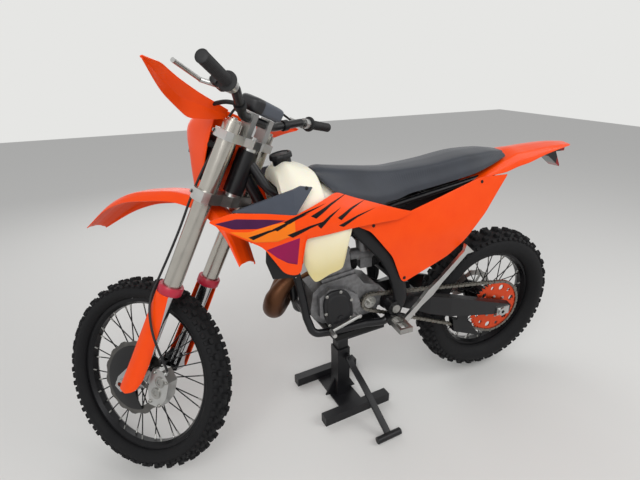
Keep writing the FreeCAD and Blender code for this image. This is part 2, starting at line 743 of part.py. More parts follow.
def fuel_tank():
    # columns: x, then (half width, z) of the crown, shoulder, side and foot, inner y, tunnel roof z
    rows = [
        (276, (44, 1078), (118, 1012), (134, 990), (130, 966), 84, 1030),
        (240, (50, 1106), (146, 1012), (168, 930), (160, 850), 104, 1010),
        (222, (54, 1104), (150, 1006), (172, 880), (162, 772), 106, 1000),
        (184, (58, 1090), (152, 990), (174, 870), (160, 708), 108, 982),
        (146, (58, 1068), (151, 978), (172, 866), (160, 722), 108, 962),
        (138, (58, 1030), (150, 975), (171, 865), (159, 725), 108, 957),
        (90, (58, 1008), (146, 955), (168, 860), (158, 740), 108, 934),
        (60, (54, 996), (136, 935), (158, 870), (150, 832), 108, 920),
        (42, (50, 986), (128, 928), (146, 908), (140, 892), 108, 912),
    ]
    sections = []
    for x, crown, shoulder, side, foot, inner, roof in rows:
        half = [crown, shoulder, side, foot, (inner, foot[1]), (inner, roof - 22), (inner - 30, roof)]
        right = [(-y, z) for y, z in half[::-1]]
        sections.append([vec(x, y, z) for y, z in half + right])
    body = loft(sections)
    for s in (1, -1):
        room = radiator_placed(box(-6, 70, RADIATOR_IN - 6, RADIATOR_OUT + 6, -6, RADIATOR_TALL + 6))
        body = body.cut(room if s > 0 else mirror(room))
    neck = rod(vec(236, 0, 1090), vec(243, 0, 1126), 32)
    cap = rod(vec(243, 0, 1126), vec(247, 0, 1142), 38)
    return fuse(body, neck, cap)


save("fuel_tank", fuel_tank())


# Seat: a long narrow foam block with a crowned top.

def seat():
    # columns: x, half width at the base, base z, half width at the top, top z, crown
    rows = [(138, 42, 0, 28, 1060, 8), (90, 52, 0, 34, 1056, 8), (60, 52, 0, 38, 1052, 8), (42, 49, 0, 40, 1050, 8),
            (36, 62, 968, 41, 1049, 8), (-120, 76, 956, 52, 1030, 8), (-300, 86, 962, 66, 1040, 8),
            (-480, 92, 996, 70, 1062, 8), (-646, 66, 1038.6, 46, 1058, 4)]
    on_tank = dict(SEAT_LINE)
    sections = []
    for x, base, low, top, high, crown in rows:
        low = on_tank.get(x, low - SEAT_GAP) + SEAT_GAP
        half = [(base, low), (base + 2, (low + high) / 2), (top, high), (0, high + crown)]
        sections.append([vec(x, y, z) for y, z in half] + [vec(x, -y, z) for y, z in half[2::-1]])
    return loft(sections)


save("seat", seat())


# Shrouds: wings from the front of the radiators back along the tank and seat.

SCOOP_Y = 158.5             # inner face of the air scoop under the front of each shroud


def shroud():
    """The outer skin, with a scoop below its front edge that leads air to the radiator."""
    # columns: x, then y at the levels below, from the top edge down
    levels = (1060, 1000, 930, 870, 740)
    rows = [
        (530, (176, 190, 196, 190, 180)),
        (420, (178, 196, 203, 198, 186)),
        (290, (170, 190, 200, 196, 188)),
        (170, (142, 172, 190, 188, 180)),
        (40, (112, 130, 158, 166, 160)),
        (-200, (100, 106, 124, 132, 130)),
    ]
    stations = [(x, list(zip(ys, levels))) for x, ys in rows]
    outline = [(518, 982), (450, 1000), (258, 965), (108, 1010), (-196, 900), (-142, 878), (36, 884),
               (234, 884), (246, 757), (300, 772), (366, 880), (466, 944)]
    skin = side_skin(stations, PANEL, outline)
    scoop = prism([(372, 878), (468, 938), (405, 717), (350, 709)], SCOOP_Y, SCOOP_Y + PANEL)
    web = prism([(378, 900), (448, 945), (462, 925), (392, 872)], SCOOP_Y, 198)
    return fuse(skin, scoop, web)


def shroud_cap():
    stations = [(450, [(192, 1010), (196, 985)]), (258, [(172, 1060), (197, 950)]), (180, [(150, 1060), (180, 950)])]
    outline = [(446, 1000.8), (230, 1046), (190, 1036), (257.6, 966)]
    return side_skin(stations, 10, outline)


save("shroud_left", shroud())
save("shroud_right", mirror(shroud()))
save("shroud_caps", shroud_cap(), mirror(shroud_cap()))


# Side panels: number-plate panels from under the seat down to the frame.

def side_panel(tuck):
    """The tuck draws the panel in behind the silencer."""
    levels = (985, 900, 800, 700, 600)
    # columns: x, share of the tuck, then y at the levels
    rows = [
        (40, 0.0, (126, 134, 140, 138, 134)),
        (-150, 0.6, (112, 124, 134, 132, 132)),
        (-230, 1.0, (106, 120, 134, 132, 131)),
        (-350, 1.0, (100, 116, 132, 130, 130)),
        (-520, 0.5, (92, 104, 116, 120, 118)),
        (-670, 0.0, (84, 92, 100, 104, 104)),
    ]
    drawn = (0.2, 1.0, 1.0, 0.6, 0.0)
    stations = [(x, [(y - tuck * share * d, z) for y, z, d in zip(ys, levels, drawn)]) for x, share, ys in rows]
    outline = [(34, 880), (-140, 874), (-196, 896), (-516, 978), (-652, 974), (-546, 839), (-442, 742),
               (-369, 693), (-171, 614), (-125, 731), (-32, 845)]
    skin = side_skin(stations, PANEL, outline)
    return fuse(skin, axle_rod(-520, 962, 72, 90, 8))


save("side_panel_left", side_panel(0))
save("side_panel_right", mirror(side_panel(20)))


# Rear fender: an arched blade behind the seat.

def rear_fender():
    # columns: x, top z, half width, skirt drop, crown drop
    rows = [(-560, 996, 84, 22, 5), (-646, 1038, 86, 54, 10), (-700, 1058, 84, 60, 12), (-760, 1062, 80, 54, 12),
            (-850, 1066, 70, 36, 9), (-950, 1066, 60, 18, 6), (-1005, 1062, 46, 10, 4)]
    return loft([trough(*row) for row in rows])


def tail_lamp():
    lamp = box(-985, -935, -38, 38, 1030, 1048)
    holder = prism([(-945, 1040), (-945, 1057.6), (-900, 1057.6), (-915, 1010), (-985, 960), (-985, 968)], -28, 28)
    return fuse(lamp, holder)


save("rear_fender", rear_fender())
save("tail_lamp", tail_lamp())


# Chain: one loop of links over both sprockets, with a narrow waist between its pins.

def chain_radius(teeth):
    return CHAIN_PITCH / 2 / math.sin(math.pi / teeth)


def chain_loop(offset):
    """Outline of the pitch line moved outwards by offset: points at every half pitch."""
    big = vec(REAR_AXLE_X, 0, REAR_AXLE_Z)
    small = vec(DRIVE[0], 0, DRIVE[1])
    r_big = chain_radius(SPROCKET_TEETH)
    r_small = chain_radius(DRIVE_TEETH)
    between = small - big
    span = between.Length
    base = math.atan2(between.z, between.x)
    lean = math.acos((r_big - r_small) / span)
    top, low = base + lean, base - lean
    run = math.sqrt(span ** 2 - (r_big - r_small) ** 2)
    small_wrap = (top - low) * r_small
    big_wrap = (2 * math.pi - (top - low)) * r_big
    total = 2 * run + small_wrap + big_wrap
    links = round(total / CHAIN_PITCH)
    points = []
    for i in range(links * 2):
        s = total * i / (links * 2)
        wide = offset(i)
        if s < run:
            share = s / run
            a = top
            centre = big + between * share
            r = r_big + (r_small - r_big) * share
        elif s < run + small_wrap:
            a = top - (s - run) / r_small
            centre, r = small, r_small
        elif s < 2 * run + small_wrap:
            share = (s - run - small_wrap) / run
            a = low
            centre = small - between * share
            r = r_small + (r_big - r_small) * share
        else:
            a = low - (s - 2 * run - small_wrap) / r_big
            centre, r = big, r_big
        points.append((centre.x + (r + wide) * math.cos(a), centre.z + (r + wide) * math.sin(a)))
    return points


def chain():
    outer = chain_loop(lambda i: 7.2 if i % 2 == 0 else 4.6)
    inner = chain_loop(lambda i: -7.2)[::2]
    band = prism(outer, CHAIN_Y - CHAIN_HALF, CHAIN_Y + CHAIN_HALF)
    band = band.cut(prism(inner, CHAIN_Y - CHAIN_HALF - 1, CHAIN_Y + CHAIN_HALF + 1))
    tip = chain_radius(SPROCKET_TEETH) + 12
    gap = SPROCKET_THICK / 2 + 2.0
    groove = axle_rod(REAR_AXLE_X, REAR_AXLE_Z, CHAIN_Y - gap, CHAIN_Y + gap, tip)
    return band.cut(groove)


save("chain", chain())


def drive_sprocket():
    r = chain_radius(DRIVE_TEETH)
    x, z = DRIVE
    wheel = axle_rod(x, z, CHAIN_Y - 4, CHAIN_Y + 4, r - 8.5)
    shaft = axle_rod(x, z, CASE_HALF + SEAT_GAP, 95, 14)
    return fuse(wheel, shaft)


save("drive_sprocket", drive_sprocket())


# Chain guide under the rear of the left arm, and the foot controls.

def chain_guide():
    """Open-ended box round the lower run, on a tab inside the left arm."""
    outer = ARM_IN - SEAT_GAP
    body = prism([(-604, 243), (-470, 298), (-458, 362), (-520, 336), (-596, 304)], CHAIN_Y - 15, outer)
    slot = prism([(-650, 238), (-440, 325), (-440, 353), (-650, 266)], CHAIN_Y - 11, CHAIN_Y + 11)
    tab = prism([(-540, 326), (-480, 345), (-484, 400), (-536, 392)], CHAIN_Y + 11, outer)
    round_sprocket = axle_rod(REAR_AXLE_X, REAR_AXLE_Z, 60, 100, chain_radius(SPROCKET_TEETH) + 16)
    return fuse(body.cut(slot), tab).cut(round_sprocket)


save("chain_guide", chain_guide())


def footpeg(s):
    """Toothed frame of a peg on its short arm."""
    start = PEG_Y + SEAT_GAP
    arm = axle_rod(-142, 468, start, start + 16, 11)
    deck = box(-168, -114, start + 12, 228, 458, 479)
    hole = box(-157, -125, start + 22, 219, 450, 490)
    rib = box(-159, -123, 180, 186, 460, 479)
    peg = fuse(arm, deck.cut(hole), rib)
    return peg if s > 0 else mirror(peg)


def gear_lever():
    shaft = axle_rod(0, 505, 96 + SEAT_GAP, 124, 8)
    arm = rod(vec(0, 119, 505), vec(118, 128, 472), 7)
    toe = rod(vec(118, 122, 472), vec(118, 162, 472), 8)
    return fuse(shaft, arm, toe)


def brake_pedal():
    inner = -CRADLE_Y - TUBE_R - SEAT_GAP
    boss = axle_rod(-36, CRADLE_Z, inner - 20, inner - 1.6, 12)
    arm = rod(vec(-36, inner - 14, CRADLE_Z), vec(92, -134, 454), 7)
    toe = box(74, 108, -162, -124, 447, 462)
    return fuse(boss, arm, toe)


save("footpegs", footpeg(1), footpeg(-1))
save("foot_levers", gear_lever(), brake_pedal())


# Side stand: a forged leg folded up beside the swingarm, on a pin below the left footpeg.

def side_stand():
    x, z = STAND_PIN
    start = vec(x, STAND_INNER + 8, z)
    along = (STAND_FOOT - start).normalize()
    across = along.cross(vec(0, 1, 0)).normalize()
    up = along.cross(across)
    # columns: distance from the pin, half width, half thickness
    rows = [(-14, 13, 7), (90, 11, 7), (150, 17, 8), (210, 11, 7), (355, 10, 7), (378, 26, 9)]
    sections = []
    for d, w, t in rows:
        c = start + along * d
        sections.append([c + across * w + up * t, c - across * w + up * t, c - across * w - up * t,
                         c + across * w - up * t])
    leg = loft(sections)
    eye = axle_rod(x, z, STAND_INNER, STAND_INNER + 16, 15)
    return fuse(leg, eye).cut(axle_rod(x, z, 100, 145, STAND_PIN_R + RUNNING))


save("side_stand", side_stand())


# Rear wheel: tyre, spoked rim and hub, brake disc on the right, sprocket on the left.

def spoked_wheel(x, z, rim_r, rim_half, hub_half, hub_r, flange_y, flange_r, count):
    rim = revolve([(-rim_half, rim_r), (-rim_half + 3, rim_r), (-rim_half + 8, rim_r - 12), (rim_half - 8, rim_r - 12),
                   (rim_half - 3, rim_r), (rim_half, rim_r), (rim_half, rim_r - 12), (12, rim_r - 21),
                   (-12, rim_r - 21), (-rim_half, rim_r - 12)], x, z)
    hub = axle_rod(x, z, -hub_half, hub_half, hub_r)
    flanges = [axle_rod(x, z, y - 4, y + 4, flange_r) for y in (-flange_y, flange_y)]
    laced = spokes(x, z, flange_y, flange_r - 6, 8, rim_r - 17, count, 2.2)
    wheel = fuse(rim, hub, *flanges, *laced)
    return wheel.cut(axle_rod(x, z, -hub_half - 1, hub_half + 1, AXLE_R + RUNNING))


def rear_wheel_rim():
    wheel = spoked_wheel(REAR_AXLE_X, REAR_AXLE_Z, REAR_RIM_R, 30, 92, 26, 40, 46, 36)
    carrier = axle_rod(REAR_AXLE_X, REAR_AXLE_Z, 62, CHAIN_Y - SPROCKET_THICK / 2, 62)
    disc_seat = axle_rod(REAR_AXLE_X, REAR_AXLE_Z, -74, -60, 46)
    whole = fuse(wheel, carrier, disc_seat)
    return whole.cut(axle_rod(REAR_AXLE_X, REAR_AXLE_Z, -100, 100, AXLE_R + RUNNING))


def rear_sprocket():
    pitch = chain_radius(SPROCKET_TEETH)
    y0 = CHAIN_Y - SPROCKET_THICK / 2
    outline = gear_outline(REAR_AXLE_X, REAR_AXLE_Z, SPROCKET_TEETH, pitch - 5, pitch + 6, 0)
    disc = prism(outline, y0, y0 + SPROCKET_THICK)
    holes = [axle_rod(REAR_AXLE_X, REAR_AXLE_Z, y0 - 1, y0 + SPROCKET_THICK + 1, 27)]
    for i in range(12):
        a = math.radians(30 * i + 15)
        r = 92 if i % 2 else 96
        holes.append(axle_rod(REAR_AXLE_X + r * math.cos(a), REAR_AXLE_Z + r * math.sin(a),
                              y0 - 1, y0 + SPROCKET_THICK + 1, 13 if i % 2 else 9))
    return disc.cut(Part.makeCompound(holes))


save("rear_tyre", wheel_tyre(REAR_AXLE_Z, REAR_AXLE_X, REAR_TYRE_R, REAR_TYRE_HALF, REAR_RIM_R + 1, 16, LUG_ROWS, 30))
save("rear_rim", rear_wheel_rim())
save("rear_disc", wave_disc(REAR_AXLE_X, REAR_AXLE_Z, REAR_DISC_Y, DISC_THICK, REAR_DISC_R, 27, 12))
save("rear_sprocket", rear_sprocket())


def rear_caliper():
    """Caliper on the right arm, over the top front of the disc."""
    x, z = REAR_AXLE_X, REAR_AXLE_Z
    outer = -ARM_IN + SEAT_GAP
    body = prism([(x + 130, z + 25), (x + 50, z + 73), (x + 62, z + 107), (x + 134, z + 95)], outer, -60)
    return body.cut(axle_rod(x, z, REAR_DISC_Y - 5, REAR_DISC_Y + DISC_THICK + 5, REAR_DISC_R + 5))


save("rear_caliper", rear_caliper())


# Fork and steering, modelled upright in the fork's frame.

def fork_outer():
    tubes = []
    for s in (1, -1):
        low = vec(LEG_LEAD, s * LEG_Y, OUTER_TUBE_LOW)
        body = rod(low, vec(LEG_LEAD, s * LEG_Y, FORK_TOP), OUTER_TUBE_R)
        cap = rod(vec(LEG_LEAD, s * LEG_Y, FORK_TOP), vec(LEG_LEAD, s * LEG_Y, FORK_TOP + 8), 22)
        bore = rod(low, low + vec(0, 0, 60), INNER_TUBE_R + RUNNING)
        tubes.append(fuse(body, cap).cut(bore))
    return tubes


def fork_inner():
    legs = []
    for s in (1, -1):
        stanchion = rod(vec(LEG_LEAD, s * LEG_Y, 30), vec(LEG_LEAD, s * LEG_Y, OUTER_TUBE_LOW + 60), INNER_TUBE_R)
        lug = prism([(-6, LUG_TOP), (LEG_LEAD + 26, LUG_TOP), (AXLE_LEAD + 22, 14), (AXLE_LEAD + 20, -22),
                     (AXLE_LEAD - 8, -28), (-4, 10)], LEG_Y - LUG_HALF, LEG_Y + LUG_HALF)
        lug = lug if s > 0 else mirror(lug)
        leg = fuse(stanchion, lug)
        legs.append(leg.cut(axle_rod(AXLE_LEAD, 0, -140, 140, AXLE_R)))
    return legs


def front_axle():
    axle = axle_rod(AXLE_LEAD, 0, -LEG_Y - 24, LEG_Y + 24, AXLE_R - 0.02)
    nut = axle_rod(AXLE_LEAD, 0, LEG_Y + 20, LEG_Y + 28, NUT_R)
    handle = axle_rod(AXLE_LEAD, 0, -LEG_Y - 28, -LEG_Y - 20, NUT_R)
    return fuse(axle, nut, handle).cut(axle_rod(AXLE_LEAD, 0, -160, 160, AXLE_BORE_R))


def clamp_plate(z0, z1):
    half = LEG_Y + 38
    side = [(-24, 22), (-12, 60), (-10, LEG_Y + 20), (4, half), (40, half), (58, LEG_Y + 24), (58, LEG_Y - 30),
            (34, 50)]
    body = plate(side + [(x, -y) for x, y in side[::-1]], z0, z1)
    for s in (1, -1):
        body = body.cut(rod(vec(LEG_LEAD, s * LEG_Y, z0 - 1), vec(LEG_LEAD, s * LEG_Y, z1 + 1), OUTER_TUBE_R))
    return body


def fork_clamps():
    stem = rod(vec(0, 0, LOWER_CLAMP[0]), vec(0, 0, UPPER_CLAMP[1] + 8), STEM_R)
    low_race = rod(vec(0, 0, LOWER_CLAMP[1]), vec(0, 0, HEAD_LOW - SEAT_GAP), 27)
    high_race = rod(vec(0, 0, HEAD_HIGH + SEAT_GAP), vec(0, 0, UPPER_CLAMP[0]), 27)
    mounts = []
    for s in (1, -1):
        post = box(-12, 24, s * 50 - 14, s * 50 + 14, UPPER_CLAMP[1], BAR_HEIGHT + 20)
        mounts.append(post.cut(axle_rod(6, BAR_HEIGHT, -80, 80, BAR_R)))
    return fuse(clamp_plate(*LOWER_CLAMP), clamp_plate(*UPPER_CLAMP), stem, low_race, high_race, *mounts)


def handlebar():
    half = [vec(6, 0, BAR_HEIGHT), vec(6, 92, BAR_HEIGHT), vec(*BAR_BEND)]
    other = [vec(p.x, -p.y, p.z) for p in half[::-1]]
    middle = bent_tube(other[:2] + half[1:], BAR_R, 70)
    ends = []
    for s in (1, -1):
        start = vec(BAR_BEND[0], s * BAR_BEND[1], BAR_BEND[2])
        end = vec(BAR_END[0], s * BAR_END[1], BAR_END[2])
        ends.append(rod(start - (end - start) * 0.05, end, BAR_END_R))
        ends.append(Part.makeSphere(BAR_R, start))
    return fuse(middle, *ends)


def bar_point(s, share):
    start = vec(BAR_BEND[0], s * BAR_BEND[1], BAR_BEND[2])
    end = vec(BAR_END[0], s * BAR_END[1], BAR_END[2])
    return start + (end - start) * share


def grip(s):
    start = bar_point(s, GRIP_IN)
    end = bar_point(s, 1.0)
    along = (end - start).normalize()
    body = fuse(rod(start, end + along * 4, GRIP_R), rod(start, start + along * 4, 27))
    return body.cut(rod(start - along, end, BAR_END_R))


def hand_control(s):
    """Perch clamp and lever blade in front of the grip."""
    start = bar_point(s, 0.1)
    end = bar_point(s, 0.24)
    clamp = rod(start, end, 18).cut(rod(start, end, BAR_END_R))
    root = vec(14, s * 247, 1020)
    block = box(-30, 30, -15, 15, -10, 10)
    block.translate(vec(0, s * 246, 1024))
    block = block.cut(rod(bar_point(s, -0.1), bar_point(s, 0.4), BAR_END_R))
    knee = vec(48, s * 268, 1016)
    tip = vec(34, s * 396, 1028)
    blade = fuse(rod(root, knee, 7), rod(knee, tip, 6), Part.makeSphere(7, knee))
    return fuse(clamp, block, blade)


def hand_guard(s):
    # columns: forward, y of the guard's plan line
    path = [(60, 92), (74, 150), (98, 240), (104, 330), (84, 440)]
    outer = [(x, y) for x, y in path]
    inner = [(x - PANEL, y - 1) for x, y in path]
    shell = plate(outer + inner[::-1], 900, 1080)
    outline = [(92, 944), (150, 925), (215, 908), (320, 946), (438, 1004), (440, 1010), (360, 1014), (286, 998),
               (200, 984), (92, 972)]
    face = Part.Face(polygon([vec(-60, y, z) for y, z in outline])).extrude(vec(260, 0, 0))
    guard = shell.common(face)
    return guard if s > 0 else mirror(guard)


def guard_mount(s):
    """Clamp round the rising part of the bar, with an arm to the guard."""
    low = vec(6, s * 92, BAR_HEIGHT)
    rise = vec(BAR_BEND[0], s * BAR_BEND[1], BAR_BEND[2]) - low
    start, end = low + rise * 0.36, low + rise * 0.5
    middle = (start + end) * 0.5
    arm = rod(middle + vec(17, 0, 0), vec(73, s * 150, 972), 7)
    return fuse(rod(start, end, 19), arm).cut(rod(low, low + rise, BAR_R + RUNNING))


def front_fender():
    # columns: forward, top, half width, skirt drop, crown drop
    rows = [(-150, 560, 50, 16, 5), (-60, 642, 60, 30, 9), (40, 683, 66, 42, 12), (150, 680, 74, 50, 14),
            (250, 640, 80, 52, 14), (345, 582, 78, 46, 12), (410, 512, 68, 34, 9), (486, 388, 44, 12, 5)]
    seat_block = box(-10, 34, -36, 36, 670, LOWER_CLAMP[0] - SEAT_GAP)
    skin = loft([trough(*row) for row in rows])
    under = box(-12, 36, -38, 38, 600, 672)
    return fuse(skin, seat_block.cut(under))


def mask_section(a, centre, knee, knee_y, rear, rear_y):
    outer = [(rear, -rear_y), (knee, -knee_y), (centre, 0), (knee, knee_y), (rear, rear_y)]
    wall = PANEL
    inner = [(rear, -rear_y + wall), (knee - wall, -knee_y + wall / 2), (centre - wall, 0),
             (knee - wall, knee_y - wall / 2), (rear, rear_y - wall)]
    return [vec(x, y, a) for x, y in outer + inner[::-1]]


def headlight_mask():
    # columns: along, centre, knee forward, knee y, rear forward, rear y
    rows = [(690, 122, 114, 30, 74, 52), (780, 168, 152, 58, 72, 92), (880, 206, 190, 76, 74, 118),
            (965, 172, 160, 62, 92, 104)]
    shell = loft([mask_section(*row) for row in rows])
    window = box(120, 230, -50 - SEAT_GAP, 50 + SEAT_GAP, 797 - SEAT_GAP, 866 + SEAT_GAP)
    straps = []
    for s in (1, -1):
        for a, y in ((848, 108), (742, 76)):
            straps.append(box(LEG_LEAD + OUTER_TUBE_R - 1, 90, s * y - 12, s * y + 12, a, a + 16))
    legs = [rod(vec(LEG_LEAD, s * LEG_Y, 700), vec(LEG_LEAD, s * LEG_Y, 900), OUTER_TUBE_R + SEAT_GAP)
            for s in (1, -1)]
    whole = fuse(shell.cut(window), *straps)
    return whole.cut(Part.makeCompound(legs))


def headlight():
    lens = prism([(150, 797), (176, 797), (198, 866), (150, 866)], -50, 50)
    bowl = box(110, 150, -40, 40, 802, 860)
    return fuse(lens, bowl)


def fork_guard(s):
    """Plastic guard round the front and outside of the lower leg, with a collar at its top."""
    centre = vec(LEG_LEAD, s * LEG_Y, 0)
    shell = tube(centre + vec(0, 0, -6), centre + vec(0, 0, OUTER_TUBE_LOW - 12), 39, 35)
    keep = plate([(-70, 12), (-12, 0), (22, -14), (70, -14), (70, 70), (-30, 70)], -6, OUTER_TUBE_LOW)
    keep.translate(vec(LEG_LEAD, LEG_Y, 0))
    keep = keep if s > 0 else mirror(keep)
    collar = tube(centre + vec(0, 0, OUTER_TUBE_LOW - 22), centre + vec(0, 0, OUTER_TUBE_LOW + 6), 39,
                  OUTER_TUBE_R + SEAT_GAP)
    foot = box(LEG_LEAD - 18, LEG_LEAD + 18, LUG_HALF, 37, 70, 100)
    foot.translate(vec(0, LEG_Y, 0))
    foot = foot if s > 0 else mirror(foot)
    lug = box(-60, 140, LEG_Y - LUG_HALF - SEAT_GAP, LEG_Y + LUG_HALF + SEAT_GAP, -60, LUG_TOP + SEAT_GAP)
    lug = lug if s > 0 else mirror(lug)
    whole = fuse(shell.common(keep), foot).cut(lug)
    leg = rod(centre, centre + vec(0, 0, OUTER_TUBE_LOW), INNER_TUBE_R + SEAT_GAP)
    nut = axle_rod(AXLE_LEAD, 0, -LEG_Y - 60, LEG_Y + 60, NUT_R + 1)
    return fuse(whole.cut(leg).cut(nut), collar)


def front_caliper():
    y0, y1 = FRONT_DISC_Y - 5, FRONT_DISC_Y + DISC_THICK + 5
    body = prism([(-104, 30), (-92, -14), (-52, -24), (-26, 20), (-16, 96), (-52, 108), (-92, 84)], 48, 92)
    body = body.cut(axle_rod(AXLE_LEAD, 0, y0, y1, FRONT_DISC_R + 5))
    arm = box(-40, -6 - SEAT_GAP, y1, y1 + 13, 30, 72)
    banjo = rod(vec(-64, 80, 90), vec(-64, 80, 108), 7)
    whole = fuse(body, arm, banjo)
    lug = box(-8 - SEAT_GAP, 100, LEG_Y - LUG_HALF - SEAT_GAP, 140, -60, LUG_TOP + SEAT_GAP)
    return whole.cut(lug).cut(rod(vec(LEG_LEAD, LEG_Y, -20), vec(LEG_LEAD, LEG_Y, 140), INNER_TUBE_R + SEAT_GAP))


def hose(points, radius):
    """A hose with each bend as large as its two runs allow."""
    edges = []
    start = points[0]
    for before, corner, after in zip(points, points[1:], points[2:]):
        incoming = corner - before
        outgoing = after - corner
        reach = 0.45 * min(incoming.Length, outgoing.Length)
        incoming.normalize()
        outgoing.normalize()
        half = incoming.getAngle(outgoing) / 2
        bend = reach / math.tan(half)
        print("hose bend", round(bend))
        first, last = corner - incoming * reach, corner + outgoing * reach
        middle = corner + (outgoing - incoming).normalize() * (bend / math.cos(half) - bend)
        edges.append(Part.LineSegment(start, first).toShape())
        edges.append(Part.Arc(first, middle, last).toShape())
        start = last
    edges.append(Part.LineSegment(start, points[-1]).toShape())
    ring = Part.Wire(Part.Circle(points[0], points[1] - points[0], radius).toShape())
    return Part.Wire(edges).makePipeShell([ring], True, False)


def brake_hose():
    """From the right-hand master cylinder round the head, down the left leg to the caliper."""
    points = [(18, -228.8, 1024), (40, -176, 1034), (60, -100, 1044), (76, -30, 1032), (80, 36, 990),
              (70, 72, 920), (66, 84, 850), (66, 102, 770), (67, 107, 680), (65, 106, 590), (68, 106, 500),
              (70, 112, 405), (52, 148, 330), (-4, 156, 250), (-46, 124, 176), (-64, 80, 111)]
    return hose([vec(*p) for p in points], 4)


save_steered("fork_outer_tubes", *fork_outer())
save_steered("fork_inner_tubes", *fork_inner())
save_steered("front_axle", front_axle())
save_steered("fork_clamps", fork_clamps())
save_steered("handlebar", handlebar())
save_steered("grips", grip(1), grip(-1))
save_steered("hand_controls", hand_control(1), hand_control(-1))
save_steered("hand_guards", *[fuse(hand_guard(s), guard_mount(s)) for s in (1, -1)])
save_steered("front_fender", front_fender())
save_steered("headlight_mask", headlight_mask())
save_steered("headlight", headlight())
save_steered("fork_guards", fork_guard(1), fork_guard(-1))
save_steered("front_caliper", front_caliper())
save_steered("front_brake_hose", brake_hose())


def bar_pad():
    return box(-22, 44, -84, 84, BAR_HEIGHT + 20 + SEAT_GAP, BAR_HEIGHT + 60)


save_steered("bar_pad", bar_pad())


# Front wheel, in the fork's frame.

def front_wheel_rim():
    wheel = spoked_wheel(AXLE_LEAD, 0, FRONT_RIM_R, 24, 74, 24, 36, 34, 36)
    seat_ring = axle_rod(AXLE_LEAD, 0, 50, 60, 40)
    return fuse(wheel, seat_ring).cut(axle_rod(AXLE_LEAD, 0, -80, 80, AXLE_R + RUNNING))


save_steered("front_tyre", wheel_tyre(0, AXLE_LEAD, FRONT_TYRE_R, FRONT_TYRE_HALF, FRONT_RIM_R + 1, 14, LUG_ROWS, 26))
save_steered("front_rim", front_wheel_rim())
save_steered("front_disc", wave_disc(AXLE_LEAD, 0, FRONT_DISC_Y, DISC_THICK, FRONT_DISC_R, 30, 14))
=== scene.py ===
"""Enduro dirt bike on its paddock lift stand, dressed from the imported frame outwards."""

import json
import math

import bmesh
import bpy
import numpy as np
from mathutils import Matrix, Vector


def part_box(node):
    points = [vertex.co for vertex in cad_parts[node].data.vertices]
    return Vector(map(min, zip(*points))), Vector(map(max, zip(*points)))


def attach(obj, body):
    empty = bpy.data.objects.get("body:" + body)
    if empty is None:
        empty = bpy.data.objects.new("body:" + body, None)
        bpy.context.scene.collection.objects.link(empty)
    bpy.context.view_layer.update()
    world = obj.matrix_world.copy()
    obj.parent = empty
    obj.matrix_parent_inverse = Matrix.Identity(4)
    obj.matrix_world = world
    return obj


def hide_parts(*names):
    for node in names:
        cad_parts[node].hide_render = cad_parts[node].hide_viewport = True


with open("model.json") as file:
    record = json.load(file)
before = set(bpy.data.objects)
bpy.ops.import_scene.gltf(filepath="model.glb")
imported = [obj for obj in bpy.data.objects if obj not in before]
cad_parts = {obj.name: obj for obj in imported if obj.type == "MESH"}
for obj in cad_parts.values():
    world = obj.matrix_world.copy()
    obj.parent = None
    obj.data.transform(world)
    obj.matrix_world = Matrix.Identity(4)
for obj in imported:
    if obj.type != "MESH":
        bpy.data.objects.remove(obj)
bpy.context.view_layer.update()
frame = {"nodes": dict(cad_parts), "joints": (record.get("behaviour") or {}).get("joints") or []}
parts = frame["nodes"]
MM = 0.001


# Camera. It is held above the left front wheel and looks down and back across the bike, with the
# wide lens of a telephone. Its place follows from the wheels, the bar and the stand.

CAMERA_AT = (0.6299, 1.3752, 1.3962)
CAMERA_YAW, CAMERA_PITCH, CAMERA_ROLL = math.radians(-110.76), math.radians(-22.49), math.radians(-1.07)
SENSOR_MM, LENS_MM = 36.0, 24.33


def in_scene(name, data):
    """An object that holds the data, linked to the scene."""
    thing = bpy.data.objects.new(name, data)
    bpy.context.scene.collection.objects.link(thing)
    return thing


look = Vector((math.cos(CAMERA_PITCH) * math.cos(CAMERA_YAW), math.cos(CAMERA_PITCH) * math.sin(CAMERA_YAW),
               math.sin(CAMERA_PITCH)))
level = look.cross(Vector((0, 0, 1))).normalized()
rolled = level * math.cos(CAMERA_ROLL) + level.cross(look) * math.sin(CAMERA_ROLL)
lens = bpy.data.cameras.new("wide_lens")
lens.sensor_width, lens.lens = SENSOR_MM, LENS_MM
camera = in_scene("camera", lens)
turned = Matrix((rolled, rolled.cross(look), -look)).transposed()
camera.matrix_world = Matrix.Translation(CAMERA_AT) @ turned.to_4x4()
bpy.context.scene.camera = camera


# Floor and light. A pale plain floor and backdrop, and soft light from a wide white sky with three
# large lamps: one over the camera's shoulder, one from the rear left and a weak one from the right.

FLOOR_COLOUR = "DCDBD8"
LAMPS = (  # place, aim, size, watts
    ((1.6, 2.6, 3.0), (0.1, 0.0, 0.5), 2.2, 62.0),
    ((-2.6, 1.8, 2.6), (-0.4, 0.0, 0.6), 2.0, 36.0),
    ((0.4, -2.8, 2.4), (0.0, 0.0, 0.5), 2.4, 24.0),
)


def linear(code):
    """sRGB hex code to the linear colour that shaders take."""
    shares = np.array([int(code[i:i + 2], 16) / 255 for i in (0, 2, 4)])
    straight = np.where(shares <= 0.04045, shares / 12.92, ((shares + 0.055) / 1.055) ** 2.4)
    return (*straight.tolist(), 1.0)


def add(tree, kind, inputs=None, **settings):
    """Adds a node with its settings; an input takes a value, or a socket to be linked from."""
    node = tree.nodes.new("ShaderNode" + kind)
    for name, value in settings.items():
        setattr(node, name, value)
    for name, value in (inputs or {}).items():
        if isinstance(value, bpy.types.NodeSocket):
            tree.links.new(value, node.inputs[name])
        else:
            node.inputs[name].default_value = value
    return node


def arithmetic(tree, operation, *values):
    """One step of arithmetic on numbers or sockets."""
    return add(tree, "Math", dict(enumerate(values)), operation=operation).outputs[0]


